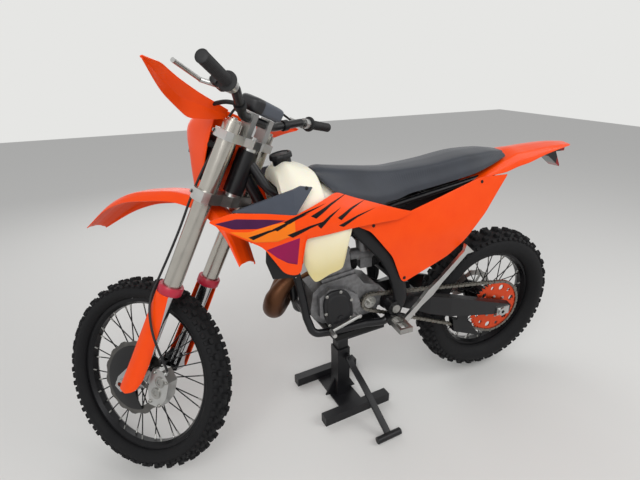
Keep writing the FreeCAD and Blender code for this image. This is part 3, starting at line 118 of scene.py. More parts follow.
def bare(name):
    """A material with an empty tree."""
    made = bpy.data.materials.new(name)
    made.use_nodes = True
    made.node_tree.nodes.clear()
    return made, made.node_tree


def mesh_of(name, points, faces):
    """A mesh object at the origin from an array of points and lists of corners."""
    mesh = bpy.data.meshes.new(name)
    mesh.from_pydata(np.asarray(points, float).reshape(-1, 3).tolist(), [], faces)
    mesh.update()
    return in_scene(name, mesh)


floor_paint, tree = bare("matt painted studio floor")
pale = add(tree, "BsdfDiffuse", {"Color": linear(FLOOR_COLOUR)})
add(tree, "OutputMaterial", {"Surface": pale.outputs[0]})
FLOOR_CORNERS = (-9, -9, 0), (9, -9, 0), (9, 9, 0), (-9, 9, 0)
floor = mesh_of("studio_floor", FLOOR_CORNERS, [(0, 1, 2, 3)])
floor.data.materials.append(floor_paint)

# Lamps and sky light the bike; the camera, mirrors and clear plastics see the even backdrop instead.
sky = bpy.data.worlds.new("white studio")
bpy.context.scene.world = sky
sky.use_nodes = True
tree = sky.node_tree
tree.nodes.clear()
path = add(tree, "LightPath")
glow = add(tree, "Background", {"Color": linear("F4F5F7"), "Strength": 0.60})
backdrop = add(tree, "Background", {"Color": linear("E6E6E4"), "Strength": 1.0})
straight = path.outputs["Is Camera Ray"]
for ray in ("Is Glossy Ray", "Is Transmission Ray"):
    straight = arithmetic(tree, "MAXIMUM", straight, path.outputs[ray])
shown = add(tree, "MixShader", {0: straight, 1: glow.outputs[0], 2: backdrop.outputs[0]})
add(tree, "OutputWorld", {"Surface": shown.outputs[0]})

for i, (place, aim, size, watts) in enumerate(LAMPS):
    lamp = bpy.data.lights.new(f"softbox_{i + 1}", "AREA")
    lamp.size, lamp.energy = size, watts
    softbox = in_scene(f"softbox_{i + 1}", lamp)
    softbox.location = place
    softbox.rotation_euler = (Vector(aim) - Vector(place)).to_track_quat("-Z", "Y").to_euler()
bpy.context.scene.view_settings.view_transform = "Standard"


# Lift stand. Square steel tube, welded and powder coated satin black, with a slab of moulded rubber
# on top that grips the frame. Its foot lever follows further down, where its helpers are.

def noise(tree, place, scale, detail):
    """Cloudy noise, so many lumps to the metre."""
    return add(tree, "TexNoise", {"Vector": place, "Scale": scale, "Detail": detail}).outputs[0]


def remap(tree, value, low, high, first, last):
    """A value brought from the range low to high into the range first to last, and held there."""
    return add(tree, "MapRange", {0: value, 1: low, 2: high, 3: first, 4: last}).outputs[0]


def blend(tree, share, first, second):
    """One colour turning into another, each a hex code or a socket."""
    tones = [linear(tone) if isinstance(tone, str) else tone for tone in (first, second)]
    return add(tree, "Mix", {0: share, 6: tones[0], 7: tones[1]}, data_type="RGBA").outputs[2]


def surface(tree, height, depth_mm, inputs):
    """Closes a material: a shader with these inputs, its skin raised by a height, and the output."""
    raised = add(tree, "Bump", {"Height": height, "Distance": depth_mm * MM})
    shader = add(tree, "BsdfPrincipled", {**inputs, "Normal": raised.outputs[0]})
    add(tree, "OutputMaterial", {"Surface": shader.outputs[0]})


def coated(name, tones, grain_mm, depth_mm, rough, metallic=0.0, coat=0.0, patch_mm=60, worn=0.06,
           gloss=0.5):
    """A finish whose colour drifts between two tones over patches, with a fine grain raised in it and
    its roughness varied by the same patches."""
    made, tree = bare(name)
    place = add(tree, "TexCoord").outputs["Object"]
    patches = noise(tree, place, 1000 / patch_mm, 4.0)
    surface(tree, noise(tree, place, 1000 / grain_mm, 2.0), depth_mm, {
        "Base Color": blend(tree, patches, *tones), "Metallic": metallic, "Coat Weight": coat,
        "Roughness": remap(tree, patches, 0.3, 0.7, rough - worn, rough + worn),
        "Coat Roughness": 0.12, "Specular IOR Level": gloss})
    return made


def dress(material, *names):
    """Gives CAD nodes that keep their shape their finish."""
    for name in names:
        slots = parts[name].data.materials
        slots.clear()
        slots.append(material)


# Powder coat is thick and soft edged, with a faint orange peel, and boots scuff it to a dull grey.
stand_coat = coated("powder-coated steel, satin black", ("0D0D0F", "1B1B1E"), 2.2, 0.10, 0.42, gloss=0.35)
stand_rubber = coated("moulded natural rubber", ("0D0D0D", "171716"), 1.2, 0.12, 0.78, gloss=0.25)
dress(stand_coat, "lift_stand", "stand_column")
dress(stand_rubber, "stand_pad")


# Frame, subframe and swingarm. Bent steel tube, welded and powder coated; the swingarm is cast and
# extruded aluminium, coated the same black. The pivot bolt and footpegs are zinc-plated steel, and
# the axles, foot levers and side stand are machined or forged from aluminium.

# A thin hard coat over smooth tube: darker and glossier than the stand, with little grain.
frame_coat = coated("powder-coated chromoly tube, black", ("08080A", "121216"), 1.5, 0.05, 0.36,
                    coat=0.1, gloss=0.35)
bright_steel = coated("zinc-plated steel", ("8E8E8C", "B9B8B4"), 0.5, 0.02, 0.30, metallic=1.0)
forged = coated("machined and shot-peened aluminium", ("A9A9A8", "CFCFCD"), 0.6, 0.04, 0.34, metallic=1.0)
dress(frame_coat, "main_frame", "subframe", "swingarm", "handlebar")
dress(bright_steel, "pivot_bolt", "footpegs", "drive_sprocket")
dress(forged, "rear_axle", "front_axle", "side_stand", "foot_levers")


# Engine. Sand-cast aluminium with a rough skin; socket screws hold its covers, and flanged nuts hold
# the head and the barrel down over the cases.

# The sand of the mould leaves a matt grain of about half a millimetre, drawn coarser so it shows.
cast = coated("sand-cast aluminium", ("4F4E4E", "9C9C9E"), 1.1, 0.16, 0.50, metallic=0.9, patch_mm=18)
cover_cast = coated("black painted magnesium casting", ("0C0C0E", "17171A"), 1.0, 0.10, 0.42,
                    coat=0.05, gloss=0.35)
dress(cast, "engine_cases", "cylinder", "carburettor")


def metres(points):
    """Millimetres of the row frame in metres."""
    return np.asarray(points, float) * MM


# a body, how points given for it are placed, and how directions given for it are turned
ROOT = "root", metres, np.eye(3)


def settle(thing, where, material, sharp=38, stands_for=()):
    """Finishes a new piece: its material, its shading, its body and what it stands for."""
    thing.data.materials.append(material)
    thing.data.shade_smooth()
    thing.data.set_sharp_from_angle(angle=math.radians(sharp))
    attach(thing, where[0])
    if stands_for:
        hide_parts(*stands_for)
    return thing


def many(name, shape, faces, origins, axes, where, material):
    """One mesh of like shapes, in millimetres: each point is an origin plus its three sizes along
    that shape's axes."""
    _, place, turn = where
    points = place(origins)[:, None, :] + np.einsum("pj,kji->kpi", metres(shape), axes @ turn)
    count = len(shape)
    corners = [[corner + k * count for corner in face] for k in range(len(points)) for face in faces]
    return settle(mesh_of(name, points, corners), where, material)


def unit(ways):
    """Directions brought to length one."""
    return ways / np.linalg.norm(ways, axis=-1, keepdims=True)


def facing(ways):
    """Axes for shapes whose third axis points each way: the other two are any two square to it."""
    ways = unit(np.atleast_2d(np.asarray(ways, float)))
    aside = np.where(np.abs(ways[:, :1]) > 0.8, [[0.0, 1.0, 0.0]], [[1.0, 0.0, 0.0]])
    first = unit(np.cross(aside, ways))
    return np.stack([first, np.cross(ways, first), ways], 1)


def circle(count, start=0.0):
    """Angles spread evenly round a circle."""
    return np.arange(count) * 2 * np.pi / count + start


def woven(*lengths):
    """Points from their three lengths, each repeated over the ways in which it doesn't vary."""
    return np.stack(np.broadcast_arrays(*lengths), -1)


def about(centre, y, r, angle):
    """Points at a radius and an angle about an axle that runs along y."""
    return woven(centre[0] + r * np.cos(angle), y, centre[1] + r * np.sin(angle))


def spun(rings, sides):
    """Corners of rings (radius, height) round the third axis, ring by ring."""
    radius, height = np.array(rings, float).T[:, :, None]
    turn = circle(sides)
    return woven(radius * np.cos(turn), radius * np.sin(turn), height).reshape(-1, 3)


def ringed(rings, sides, first=0, foot=True):
    """Faces of a solid whose corners are numbered ring by ring from first: its walls, then a cap on
    its foot, unless that is left open, and one on its head."""
    faces = [[a + i, a + (i + 1) % sides, a + sides + (i + 1) % sides, a + sides + i]
             for a in range(first, first + (rings - 1) * sides, sides) for i in range(sides)]
    if foot:
        faces.append(list(range(first, first + sides))[::-1])
    return faces + [list(range(first + (rings - 1) * sides, first + rings * sides))]


SCREW_RINGS = (1.25, 0.0), (1.25, 0.16), (1.0, 0.2), (1.0, 0.9), (0.88, 1.0), (0.5, 1.0), (0.46, 0.5)


def screws(name, spots, ways, radius, height, where=ROOT, material=bright_steel, sides=10):
    """Socket screws' heads of one size: rings of corners up the flange, over the rim and down into
    the socket. They all face one way, or each its own."""
    axes = facing(ways) if np.ndim(ways) > 1 else np.repeat(facing(ways), len(spots), 0)
    shape = spun(np.array(SCREW_RINGS) * (radius, height), sides)
    return many(name, shape, ringed(len(SCREW_RINGS), sides, foot=False), spots, axes, where, material)


COVER_SCREWS = ((126, 608), (72, 617), (131, 536), (117, 484), (68, 468), (31, 500), (29, 575))
screws("ignition_cover_screws", [(x, 107.0, z) for x, z in COVER_SCREWS], (0, 1, 0), 5.0, 5.0)
screws("clutch_cover_screws", about((-10, 556), -112.0, 57, circle(6)), (0, -1, 0), 4.5, 4.5)
LEAN = math.radians(8.0)
head_axes = np.array([[math.cos(LEAN), 0, -math.sin(LEAN)], [0, 1, 0], [math.sin(LEAN), 0, math.cos(LEAN)]])
HEAD_FOOT, HEAD_RISE = (62, 0, 650.5), 108.0
around = [(-50, -48), (50, -48), (-50, 48), (50, 48), (0, -52), (0, 52)]
head_spots = np.array([(x, y, HEAD_RISE) for x, y in around]) @ head_axes + HEAD_FOOT
screws("head_nuts", head_spots, tuple(head_axes[2]), 6.5, 8.0)

black_plastic = coated("moulded polypropylene, black", ("0B0B0D", "141417"), 0.8, 0.06, 0.48, gloss=0.35)
dress(black_plastic, "airbox", "chain_guide")


# Exhaust. Thin steel sheet rolled into cones and welded end to end, browned by heat near the port,
# then a brushed aluminium silencer sleeve between riveted caps.

def through(knots, values, at, calm=False):
    """Smooth curve through values at rising knots: cubic pieces that leave and reach each knot with
    the slope of its neighbours. Calm slopes are never steeper than the gentler side asks, so that
    the curve doesn't swing past its values."""
    knots = np.asarray(knots, float)
    values = np.asarray(values, float)
    more = (...,) + (None,) * (values.ndim - 1)
    slopes = np.gradient(values, knots, axis=0)
    if calm:
        rises = np.diff(values, axis=0) / np.diff(knots)[more]
        product = rises[:-1] * rises[1:]
        total = rises[:-1] + rises[1:]
        slopes[1:-1] = np.where(product > 0, 2 * product / np.where(total == 0, 1, total), 0)
    at = np.clip(at, knots[0], knots[-1])
    i = np.clip(np.searchsorted(knots, at, side="right") - 1, 0, len(knots) - 2)
    span = (knots[i + 1] - knots[i])[more]
    t = ((at - knots[i]) / (knots[i + 1] - knots[i]))[more]
    return ((1 + 2 * t) * (1 - t) ** 2 * values[i] + t * (1 - t) ** 2 * span * slopes[i]
            + t * t * (3 - 2 * t) * values[i + 1] + t * t * (t - 1) * span * slopes[i + 1])


def along_path(points, steps):
    """Evenly spread points on the smooth curve through a route, with the way it runs at each, how far
    along each lies, and where the route's own points lie."""
    points = np.asarray(points, float)
    gaps = np.linalg.norm(np.diff(points, axis=0), axis=1)
    knots = np.concatenate([[0], np.cumsum(gaps)])
    at = np.linspace(0, knots[-1], steps)
    line = through(knots, points, at)
    return line, unit(np.gradient(line, axis=0)), at, knots


def round_grid(line, ways, radii, sides):
    """Rings of points round a line: each ring is square to the way the line runs there."""
    ways = np.broadcast_to(ways, line.shape)
    aside = unit(np.cross(ways, [0.13, 0.31, 0.94]))
    turn = circle(sides)[:, None]
    ring = aside[:, None] * np.cos(turn) + np.cross(ways, aside)[:, None] * np.sin(turn)
    return line[:, None] + ring * np.broadcast_to(radii, (len(line),))[:, None, None]


def cells(index):
    """The four corners of each cell of a net of numbered points."""
    return np.stack([index[:-1, :-1], index[:-1, 1:], index[1:, 1:], index[1:, :-1]], -1).reshape(-1, 4)


def cleaned(thing, outwards):
    """Merges points that fall together, drops loose ones and, if asked, turns the faces outwards."""
    whole = bmesh.new()
    whole.from_mesh(thing.data)
    bmesh.ops.remove_doubles(whole, verts=whole.verts, dist=2e-5)
    bmesh.ops.delete(whole, geom=[point for point in whole.verts if not point.link_faces], context="VERTS")
    if outwards:
        bmesh.ops.recalc_face_normals(whole, faces=whole.faces)
    whole.to_mesh(thing.data)
    whole.free()
    return thing


def piece(name, grid, where, material, wrap=(False, True), caps=True, sharp=38, stands_for=()):
    """A closed mesh over a grid of points: four neighbours make a face, a wrapped way closes on
    itself, and a ring at an open end gets a cap."""
    index = np.arange(grid[..., 0].size).reshape(grid.shape[:2])
    net = np.hstack([index, index[:, :1]]) if wrap[1] else index
    net = np.vstack([net, net[:1]]) if wrap[0] else net
    faces = cells(net).tolist()
    if caps:
        faces += [index[0].tolist(), index[-1][::-1].tolist()]
    return settle(cleaned(mesh_of(name, where[1](grid), faces), True), where, material, sharp, stands_for)


def lathed(name, foot, way, steps, sides, material, where=ROOT):
    """A turned part: rings of steps (distance from its foot, radius) along one way."""
    steps, way = np.array(steps, float), np.asarray(way, float)
    line = np.asarray(foot, float) + way * steps[:, :1]
    return piece(name, round_grid(line, way, steps[:, 1], sides), where, material)


PIPE = (  # x, y, z, radius: the header, the chamber's cones and the stinger
    (144, 0, 680, 22), (176, 0, 672, 23), (214, 0, 658, 25), (252, 0, 632, 29), (290, -6, 578, 37),
    (288, -40, 524, 43), (250, -112, 512, 48), (198, -158, 560, 50), (150, -170, 622, 46),
    (96, -172, 664, 39), (30, -168, 694, 29), (-40, -162, 716, 21), (-119, -159, 737, 16),
    (-201, -162, 768, 15))
WELD_HEIGHT, WELD_HALF = 1.2, 3.2
pipe = np.array(PIPE, float)
line, ways, at, knots = along_path(pipe[:, :3], 150)
nearest = np.min(np.abs(at[:, None] - knots[None, 3:12]), axis=1)
gauge = through(knots, pipe[:, 3], at) + WELD_HEIGHT * np.exp(-(nearest / WELD_HALF) ** 2)


def placed(tree):
    """The place on the object that is being shaded, whole and as its three lengths."""
    place = add(tree, "TexCoord").outputs["Object"]
    return place, add(tree, "SeparateXYZ", {0: place}).outputs


# Heat browns the steel near the port and leaves straw and brown bands; the far cones stay grey.
pipe_steel, tree = bare("heat-tinted mild steel")
place, where = placed(tree)
warmth = remap(tree, where["X"], -0.1, 0.3, 0.0, 1.0)
mixed = arithmetic(tree, "MULTIPLY_ADD", noise(tree, place, 22.0, 5.0), 0.35, warmth)
tint = add(tree, "ValToRGB", {0: mixed})
ramp = tint.color_ramp.elements
ramp[0].position, ramp[0].color = 0.15, linear("8C8780")
ramp[1].position, ramp[1].color = 1.15, linear("5A3A26")
for share, code in ((0.45, "8A6B4C"), (0.7, "7B5334"), (0.95, "6A4630")):
    ramp.new(share).color = linear(code)
surface(tree, noise(tree, place, 900.0, 2.0), 0.04,
        {"Base Color": tint.outputs[0], "Metallic": 0.85, "Roughness": 0.42})
piece("chamber_and_header", round_grid(line, ways, gauge, 40), ROOT, pipe_steel,
      stands_for=("exhaust_chamber",))
brushed = coated("brushed aluminium sleeve", ("9C9C9B", "BDBDBC"), 0.7, 0.03, 0.36, metallic=1.0)
dress(brushed, "silencer", "radiators")


# Engine's outside. A black painted magnesium cover, egg-shaped and slightly crowned, closes the
# ignition side; rubber boots join the carburettor to the barrel and the airbox.

COVER_RINGS = (  # share of the rim's size, y
    (1.0, 84), (1.0, 101), (0.985, 104.2), (0.955, 106.4), (0.91, 107.0), (0.87, 106.2), (0.80, 106.6),
    (0.76, 109.4), (0.70, 110.6), (0.35, 111.6), (0.02, 111.8))
COVER_X, COVER_Z, COVER_HALF_X, COVER_HALF_Z, COVER_LEAN = 79, 541, 58, 82, 0.09


def squared(turn, power):
    """Shares across and upwards round a circle that is drawn out towards a square, the more so the
    smaller the power."""
    return [np.sign(wave) * np.abs(wave) ** power for wave in (np.cos(turn), np.sin(turn))]


share, rise = np.array(COVER_RINGS).T[:, :, None]
out_x, out_z = squared(circle(96), 0.78)
up = COVER_HALF_Z * share * out_z
grid = woven(COVER_X + COVER_HALF_X * share * out_x + COVER_LEAN * up, rise, COVER_Z + up)
piece("ignition_cover_dome", grid, ROOT, cover_cast, stands_for=("ignition_cover",))
screws("inspection_plug", [(73, 111.4, 508)], (0, 1, 0), 13.0, 3.5, ROOT, cover_cast)
boot_rubber = coated("moulded nitrile rubber", ("0C0C0D", "161617"), 1.0, 0.08, 0.6, gloss=0.3)
low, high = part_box("carburettor")
share = np.linspace(0, 1, 40)
ribs = 30.5 + 2.6 * np.sin(share * np.pi * 7) ** 2
for name, start, end in (("intake_boot_front", high[0] / MM + 1, -30), ("intake_boot_rear", -99, -128.4)):
    steps = np.stack([(start - end) * share, ribs], 1)
    lathed(name, (start, 0, high[2] / MM - 92), (-1, 0, 0), steps, 36, boot_rubber)


# Frame guards. A long shell of black plastic over each spar, where the rider's boots grip it.

LEFT = np.array([0.0, 1.0, 0.0])
SIDES = (1, "left"), (-1, "right")
GUARD_ROUTE = ((34, 86, 878), (-46, 93, 800), (-122, 100, 710), (-162, 106, 620), (-176, 109, 550),
               (-171, 109, 486))
GUARD_HALF, GUARD_PROUD = 29, 17.5
turn = circle(40)
for side, word in SIDES:
    line, ways, at, _ = along_path(np.array(GUARD_ROUTE) * (1, side, 1), 60)
    flat = unit(np.cross(ways, LEFT))
    wide = GUARD_HALF * np.clip(1 - np.abs(2 * at / at[-1] - 1) ** 9, 0.3, 1)
    grid = line[:, None] + flat[:, None] * (wide[:, None] * squared(turn, 0.7)[0])[..., None]
    grid = grid + LEFT * side * (2 + GUARD_PROUD * np.sin(turn))[:, None]
    piece(f"frame_guard_{word}", grid, ROOT, black_plastic)


# Shock absorber. A steel body and chromed rod inside a coil spring of thick wire, powder coated
# white, seated between a collar at the top and a ring at the bottom.

SHOCK_LOW, SHOCK_HIGH = np.array([-256.0, 0, 536.3]), np.array([-120.0, 0, 862.0])
COIL_TURNS, COIL_RADIUS, COIL_FOOT, COIL_LENGTH, WIRE_RADIUS = 7.5, 32.0, 50, 190, 5.6
white_coat = coated("white powder-coated spring steel", ("D8D7D2", "EDECE8"), 1.6, 0.06, 0.35, coat=0.3)
shock_way = unit(SHOCK_HIGH - SHOCK_LOW)
turn = np.linspace(0, COIL_TURNS * 2 * np.pi, 280)[:, None]
outward = np.cross(shock_way, LEFT) * np.cos(turn) + LEFT * np.sin(turn)
coil = SHOCK_LOW + shock_way * (COIL_FOOT + COIL_LENGTH * turn / turn[-1]) + COIL_RADIUS * outward
across = np.cross(unit(np.gradient(coil, axis=0)), outward)
ring = circle(10)[:, None]
wire = coil[:, None] + WIRE_RADIUS * (outward[:, None] * np.cos(ring) + across[:, None] * np.sin(ring))
piece("shock_spring", wire, ROOT, white_coat)

SHOCK_BODY = (  # distance from the lower eye, radius: fork, ring, rod, seal, body, collar, neck
    (0, 14), (30, 14), (31, 37), (43, 37), (44, 9), (110, 9), (111, 23), (236, 23), (237, 37), (246, 37),
    (247, 26), (310, 25), (330, 15), (352, 14))
shock_body = lathed("shock_body", SHOCK_LOW, shock_way, SHOCK_BODY, 28, forged)
for name, eye in (("shock_eye_low", SHOCK_LOW), ("shock_eye_high", SHOCK_HIGH)):
    lathed(name, eye, LEFT, ((-18, 15), (-17, 16), (17, 16), (18, 15)), 28, forged)
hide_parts("shock")


# Fuel tank. One hollow piece of rotomoulded polyethylene, left its natural ivory, thick enough to
# scatter light; saddle shaped over the frame, with a lobe down each side and a screw cap on top.

TANK = (  # x, then (half width, z) at the crown, shoulder, side and foot, inner y low, inner y high, roof z
    (276, (44, 1066), (118, 1006), (134, 986), (130, 966), 122, 84, 1020),
    (240, (50, 1095), (142, 1008), (168, 930), (160, 850), 154, 104, 1006),
    (222, (54, 1091), (150, 1004), (172, 880), (162, 772), 156, 106, 998),
    (184, (58, 1076), (152, 990), (174, 870), (160, 708), 110, 108, 982),
    (146, (58, 1058), (151, 978), (172, 866), (160, 722), 108, 108, 962),
    (138, (58, 1028), (150, 975), (171, 865), (159, 725), 108, 108, 957),
    (90, (58, 1006), (146, 955), (168, 860), (158, 740), 108, 108, 934),
    (60, (54, 994), (136, 935), (158, 870), (150, 832), 108, 108, 920),
    (42, (50, 984), (128, 928), (146, 908), (140, 892), 108, 108, 912))
TANK_PACES = 0, 70, 75, 120, 118, 58, 58, 118, 120, 75, 70  # from corner to corner of a section


def mirrored(half, stop=None):
    """A section's left half and its mirror image after it, less the corner on the middle line."""
    return np.concatenate([half, (half * (-1, 1))[..., -2:stop:-1, :]], -2)


def redrawn(sections, knots, count, calm=False):
    """The corners of each section redrawn as a smooth curve of that many points."""
    at = np.linspace(0, knots[-1], count)
    return np.moveaxis(through(knots, np.moveaxis(sections, 1, 0), at, calm), 0, 1)


def stationed(at, loops):
    """Sections in (y, z) set up at their places along x."""
    return woven(at[:, None], loops[..., 0], loops[..., 1])


def tank_loops(steps):
    """Closed sections of the tank: a smooth outer curve from foot to foot over the crown, and the
    straight inner walls and roof of its tunnel, each drifting smoothly from one station to the next."""
    table = TANK[::-1]
    stations = np.array([row[0] for row in table], float)
    at = np.concatenate([np.linspace(42, 138, 16), np.linspace(140, 276, 34)])  # closer near the filler
    half = np.array([[row[4], (row[3][0], (row[3][1] + row[4][1]) / 2), row[3], row[2], row[1],
                      (0, row[1][1] + 3)] for row in table], float)
    curve = redrawn(mirrored(through(stations, half, at, calm=True)), np.cumsum(TANK_PACES), steps, True)
    tunnel = np.array([(row[5], row[6], row[4][1], row[7]) for row in table], float)
    low, high, foot, roof = through(stations, tunnel, at, True).T[:, :, None]
    walls = [(-low, foot), (-(low + high) / 2, roof - 60), (-high, roof - 22), (-(high - 30), roof),
             (high - 30, roof), (high, roof - 22), ((low + high) / 2, roof - 60), (low, foot)]
    wall = np.stack([np.concatenate([y, z], 1) for y, z in walls], 1)
    return stationed(at, np.concatenate([curve, wall], 1))


# Natural polyethylene glows a little where light enters it, and fuel shows as a darker, yellower
# level; the mould leaves a faint pebbling.
tank_plastic, tree = bare("rotomoulded polyethylene, natural")
place, where = placed(tree)
depth = arithmetic(tree, "MULTIPLY_ADD", noise(tree, place, 9.0, 3.0), 0.03, where["Z"])
fuel = remap(tree, depth, 0.76, 0.95, 0.0, 1.0)
surface(tree, noise(tree, place, 420.0, 2.0), 0.12, {
    "Base Color": blend(tree, fuel, "E0D094", "F6F1DE"), "Roughness": 0.42, "IOR": 1.51,
    "Subsurface Weight": 0.25, "Subsurface Radius": (0.012, 0.009, 0.005), "Subsurface Scale": 1.0})
piece("fuel_tank_shell", tank_loops(56), ROOT, tank_plastic, sharp=50, stands_for=("fuel_tank",))
CAP = ((0, 31), (24, 31), (25, 38), (27, 39), (37, 38.5), (41, 36), (42, 30), (39, 27), (39, 0.1))
KNURLED, KNURL_DEPTH = slice(2, 6), 0.03
cap_foot, cap_way = np.array([236.0, 0, 1078.0]), unit(np.array([7.0, 0, 36.0]))
steps = np.array(CAP, float)
line = cap_foot + cap_way * steps[:, :1]
grid = round_grid(line, cap_way, steps[:, 1], 48)
knurl = 1 - KNURL_DEPTH * (np.arange(48) % 4 < 2)[:, None]
grid[KNURLED] = line[KNURLED, None] + (grid[KNURLED] - line[KNURLED, None]) * knurl
piece("fuel_cap", grid, ROOT, black_plastic)


# Seat. Polyurethane foam under one stretched cover of dark grey vinyl, ribbed on top and stapled
# under the base. It narrows towards the tank.

SEAT = (  # x, half width and z of the lower edge, z under the middle, half width and z of the top, crown
    (138, 58, 1044, 1034, 26, 1057, 5), (128, 92, 1030, 1028, 31, 1060, 7),
    (112, 128, 1010, 1021, 35, 1060, 8), (92, 137, 1000, 1013, 38, 1057, 8),
    (42, 128, 979, 990, 43, 1050, 8), (-30, 116, 950, 964, 49, 1041, 8),
    (-90, 105, 934, 956, 52, 1034, 8), (-150, 95, 936, 957, 55, 1030, 8), (-210, 88, 950, 958, 60, 1033, 8),
    (-300, 87, 962, 962, 66, 1040, 8), (-480, 92, 994, 996, 70, 1062, 8),
    (-570, 82, 1018, 1020, 60, 1064, 7), (-646, 62, 1039, 1041, 42, 1058, 4))


def drifting(table, at, calm=False):
    """The columns of a table read off at places along its first column, each drifting smoothly."""
    rows = np.array(table, float)
    return through(rows[:, 0], rows[:, 1:], at, calm).T


def seat_loops(steps):
    """Closed sections of the seat: a flat base, sides that swell out and draw in to a rounded shoulder,
    and a crowned top, drifting smoothly from station to station."""
    at = np.linspace(SEAT[-1][0], SEAT[0][0], steps)
    base, low, deck, top, high, crown = drifting(SEAT[::-1], at, calm=True)
    tall = high - low
    half = [(0 * base, deck), (base * 0.42, deck), (base * 0.8, deck * 0.35 + low * 0.65), (base, low),
            (base * 0.9 + top * 0.1 + 3, low + tall * 0.22), (base * 0.5 + top * 0.5 + 2, low + tall * 0.6),
            (top + 7, high - 6), (top - 1, high + 1), (top * 0.7, high + crown * 0.6),
            (0 * top, high + crown)]
    half = np.moveaxis(np.array(half), 2, 0)
    return stationed(at, mirrored(redrawn(half, np.arange(10.0), 46, True), 0))


# Gripper vinyl is pressed with bowed ribs across the seat, 9 mm apart, that fade out at its edges; a
# raised grain of pinhead size lies between them.
RIB_PITCH, RIB_BOW = 0.009, 0.6
vinyl, tree = bare("pressed gripper vinyl")
place, where = placed(tree)
aside = arithmetic(tree, "ABSOLUTE", where["Y"])
bow = arithmetic(tree, "MULTIPLY_ADD", aside, RIB_BOW, where["X"])
ridge = arithmetic(tree, "SINE", arithmetic(tree, "MULTIPLY", bow, 2 * math.pi / RIB_PITCH))
rib = arithmetic(tree, "MULTIPLY", ridge, remap(tree, aside, 0.066, 0.084, 1.0, 0.0))
grain = add(tree, "TexVoronoi", {"Vector": place, "Scale": 550.0})
surface(tree, arithmetic(tree, "MULTIPLY_ADD", grain.outputs["Distance"], 0.7, rib), 0.12, {
    "Base Color": blend(tree, noise(tree, place, 14.0, 5.0), "20242B", "2F343E"), "Roughness": 0.6,
    "Sheen Weight": 0.15})
seat = piece("seat_cushion", seat_loops(110), ROOT, vinyl, sharp=60, stands_for=("seat",))


# Shrouds. Wings of injection-moulded polypropylene, orange right through, screwed to the radiators
# and the tank. Printed vinyl film covers part of each: amber, purple and magenta fields with black bars.

def between(upper, lower, along, across, soften=7):
    """Points between two edge routes of as many corners: both are walked at the same pace, a short
    moving average rounds their corners, and straight lines join them."""
    upper, lower = np.array(upper, float), np.array(lower, float)
    knots = np.concatenate([[0], np.cumsum(np.linalg.norm(np.diff((upper + lower) / 2, axis=0), axis=1))])
    pace = np.linspace(0, knots[-1], along)
    edges = []
    for route in (upper, lower):
        drawn = [np.interp(pace, knots, route[:, i]) for i in (0, 1)]
        drawn = [np.pad(run, soften // 2, mode="edge") for run in drawn]
        edges.append(np.stack([np.convolve(run, np.ones(soften) / soften, "valid") for run in drawn], 1))
    share = np.linspace(0, 1, across)[None, :, None]
    return edges[0][:, None, :] * (1 - share) + edges[1][:, None, :] * share


def flank(table, levels, places):
    """Half width of a side panel at places (x, z): the table's columns drift smoothly along x, and
    the levels' values drift smoothly up z."""
    along = through([row[0] for row in table], [row[1] for row in table], places[..., 0].ravel())
    up = through(levels, np.eye(len(levels)), places[..., 1].ravel())
    return (along * up).sum(1).reshape(places.shape[:-1])


def shell(name, grid, wall_mm, outward, where, material, keep=None, rim_mm=0.8, sharp=50, stands_for=()):
    """A thin moulded wall from a grid of points on its outer face, less the cells that keep leaves
    out. Its faces are turned to the outward way as a whole, and thickness goes on behind them."""
    faces = cells(np.arange(grid[..., 0].size).reshape(grid.shape[:2]))
    faces = faces if keep is None else faces[keep]
    ends = grid.reshape(-1, 3)[faces]
    normals = np.cross(ends[:, 2] - ends[:, 0], ends[:, 3] - ends[:, 1])
    faces = faces[:, ::-1] if (normals.sum(0) @ np.asarray(outward, float)) < 0 else faces
    thing = cleaned(mesh_of(name, where[1](grid), faces.tolist()), False)
    wall = thing.modifiers.new("wall", "SOLIDIFY")
    wall.thickness, wall.offset, wall.use_even_offset = wall_mm * MM, -1.0, False
    if rim_mm:
        rim = thing.modifiers.new("rim", "BEVEL")
        rim.width, rim.segments, rim.limit_method, rim.angle_limit = rim_mm * MM, 2, "ANGLE", math.radians(60)
    return settle(thing, where, material, sharp, stands_for)


WALL = 3.5
SHROUD_LEVELS = (740, 870, 930, 1000, 1060)
SHROUD = (  # x, half width at each level
    (-200, (130, 132, 124, 106, 100)), (40, (160, 166, 158, 130, 112)), (170, (180, 188, 190, 172, 142)),
    (290, (188, 196, 200, 190, 170)), (420, (186, 198, 203, 196, 178)), (530, (180, 190, 196, 190, 176)))
SHROUD_TOP = ((518, 982), (450, 1000), (350, 985), (258, 965), (240, 972), (180, 990), (108, 1010), (36, 979),
              (-142, 914), (-196, 897))
SHROUD_FOOT = ((518, 982), (466, 944), (366, 880), (300, 772), (246, 757), (234, 884), (140, 884), (36, 884),
               (-142, 878), (-196, 893))


def on_side(table, levels, upper, lower, side, lift_mm=0.0, along=150, across=26, soften=7):
    """Grid on a side panel's outer face between two edges in (x, z), lifted off it by a film's depth."""
    places = between(upper, lower, along, across, soften)
    half = flank(table, levels, places) + lift_mm
    return woven(places[..., 0], side * half, places[..., 1])


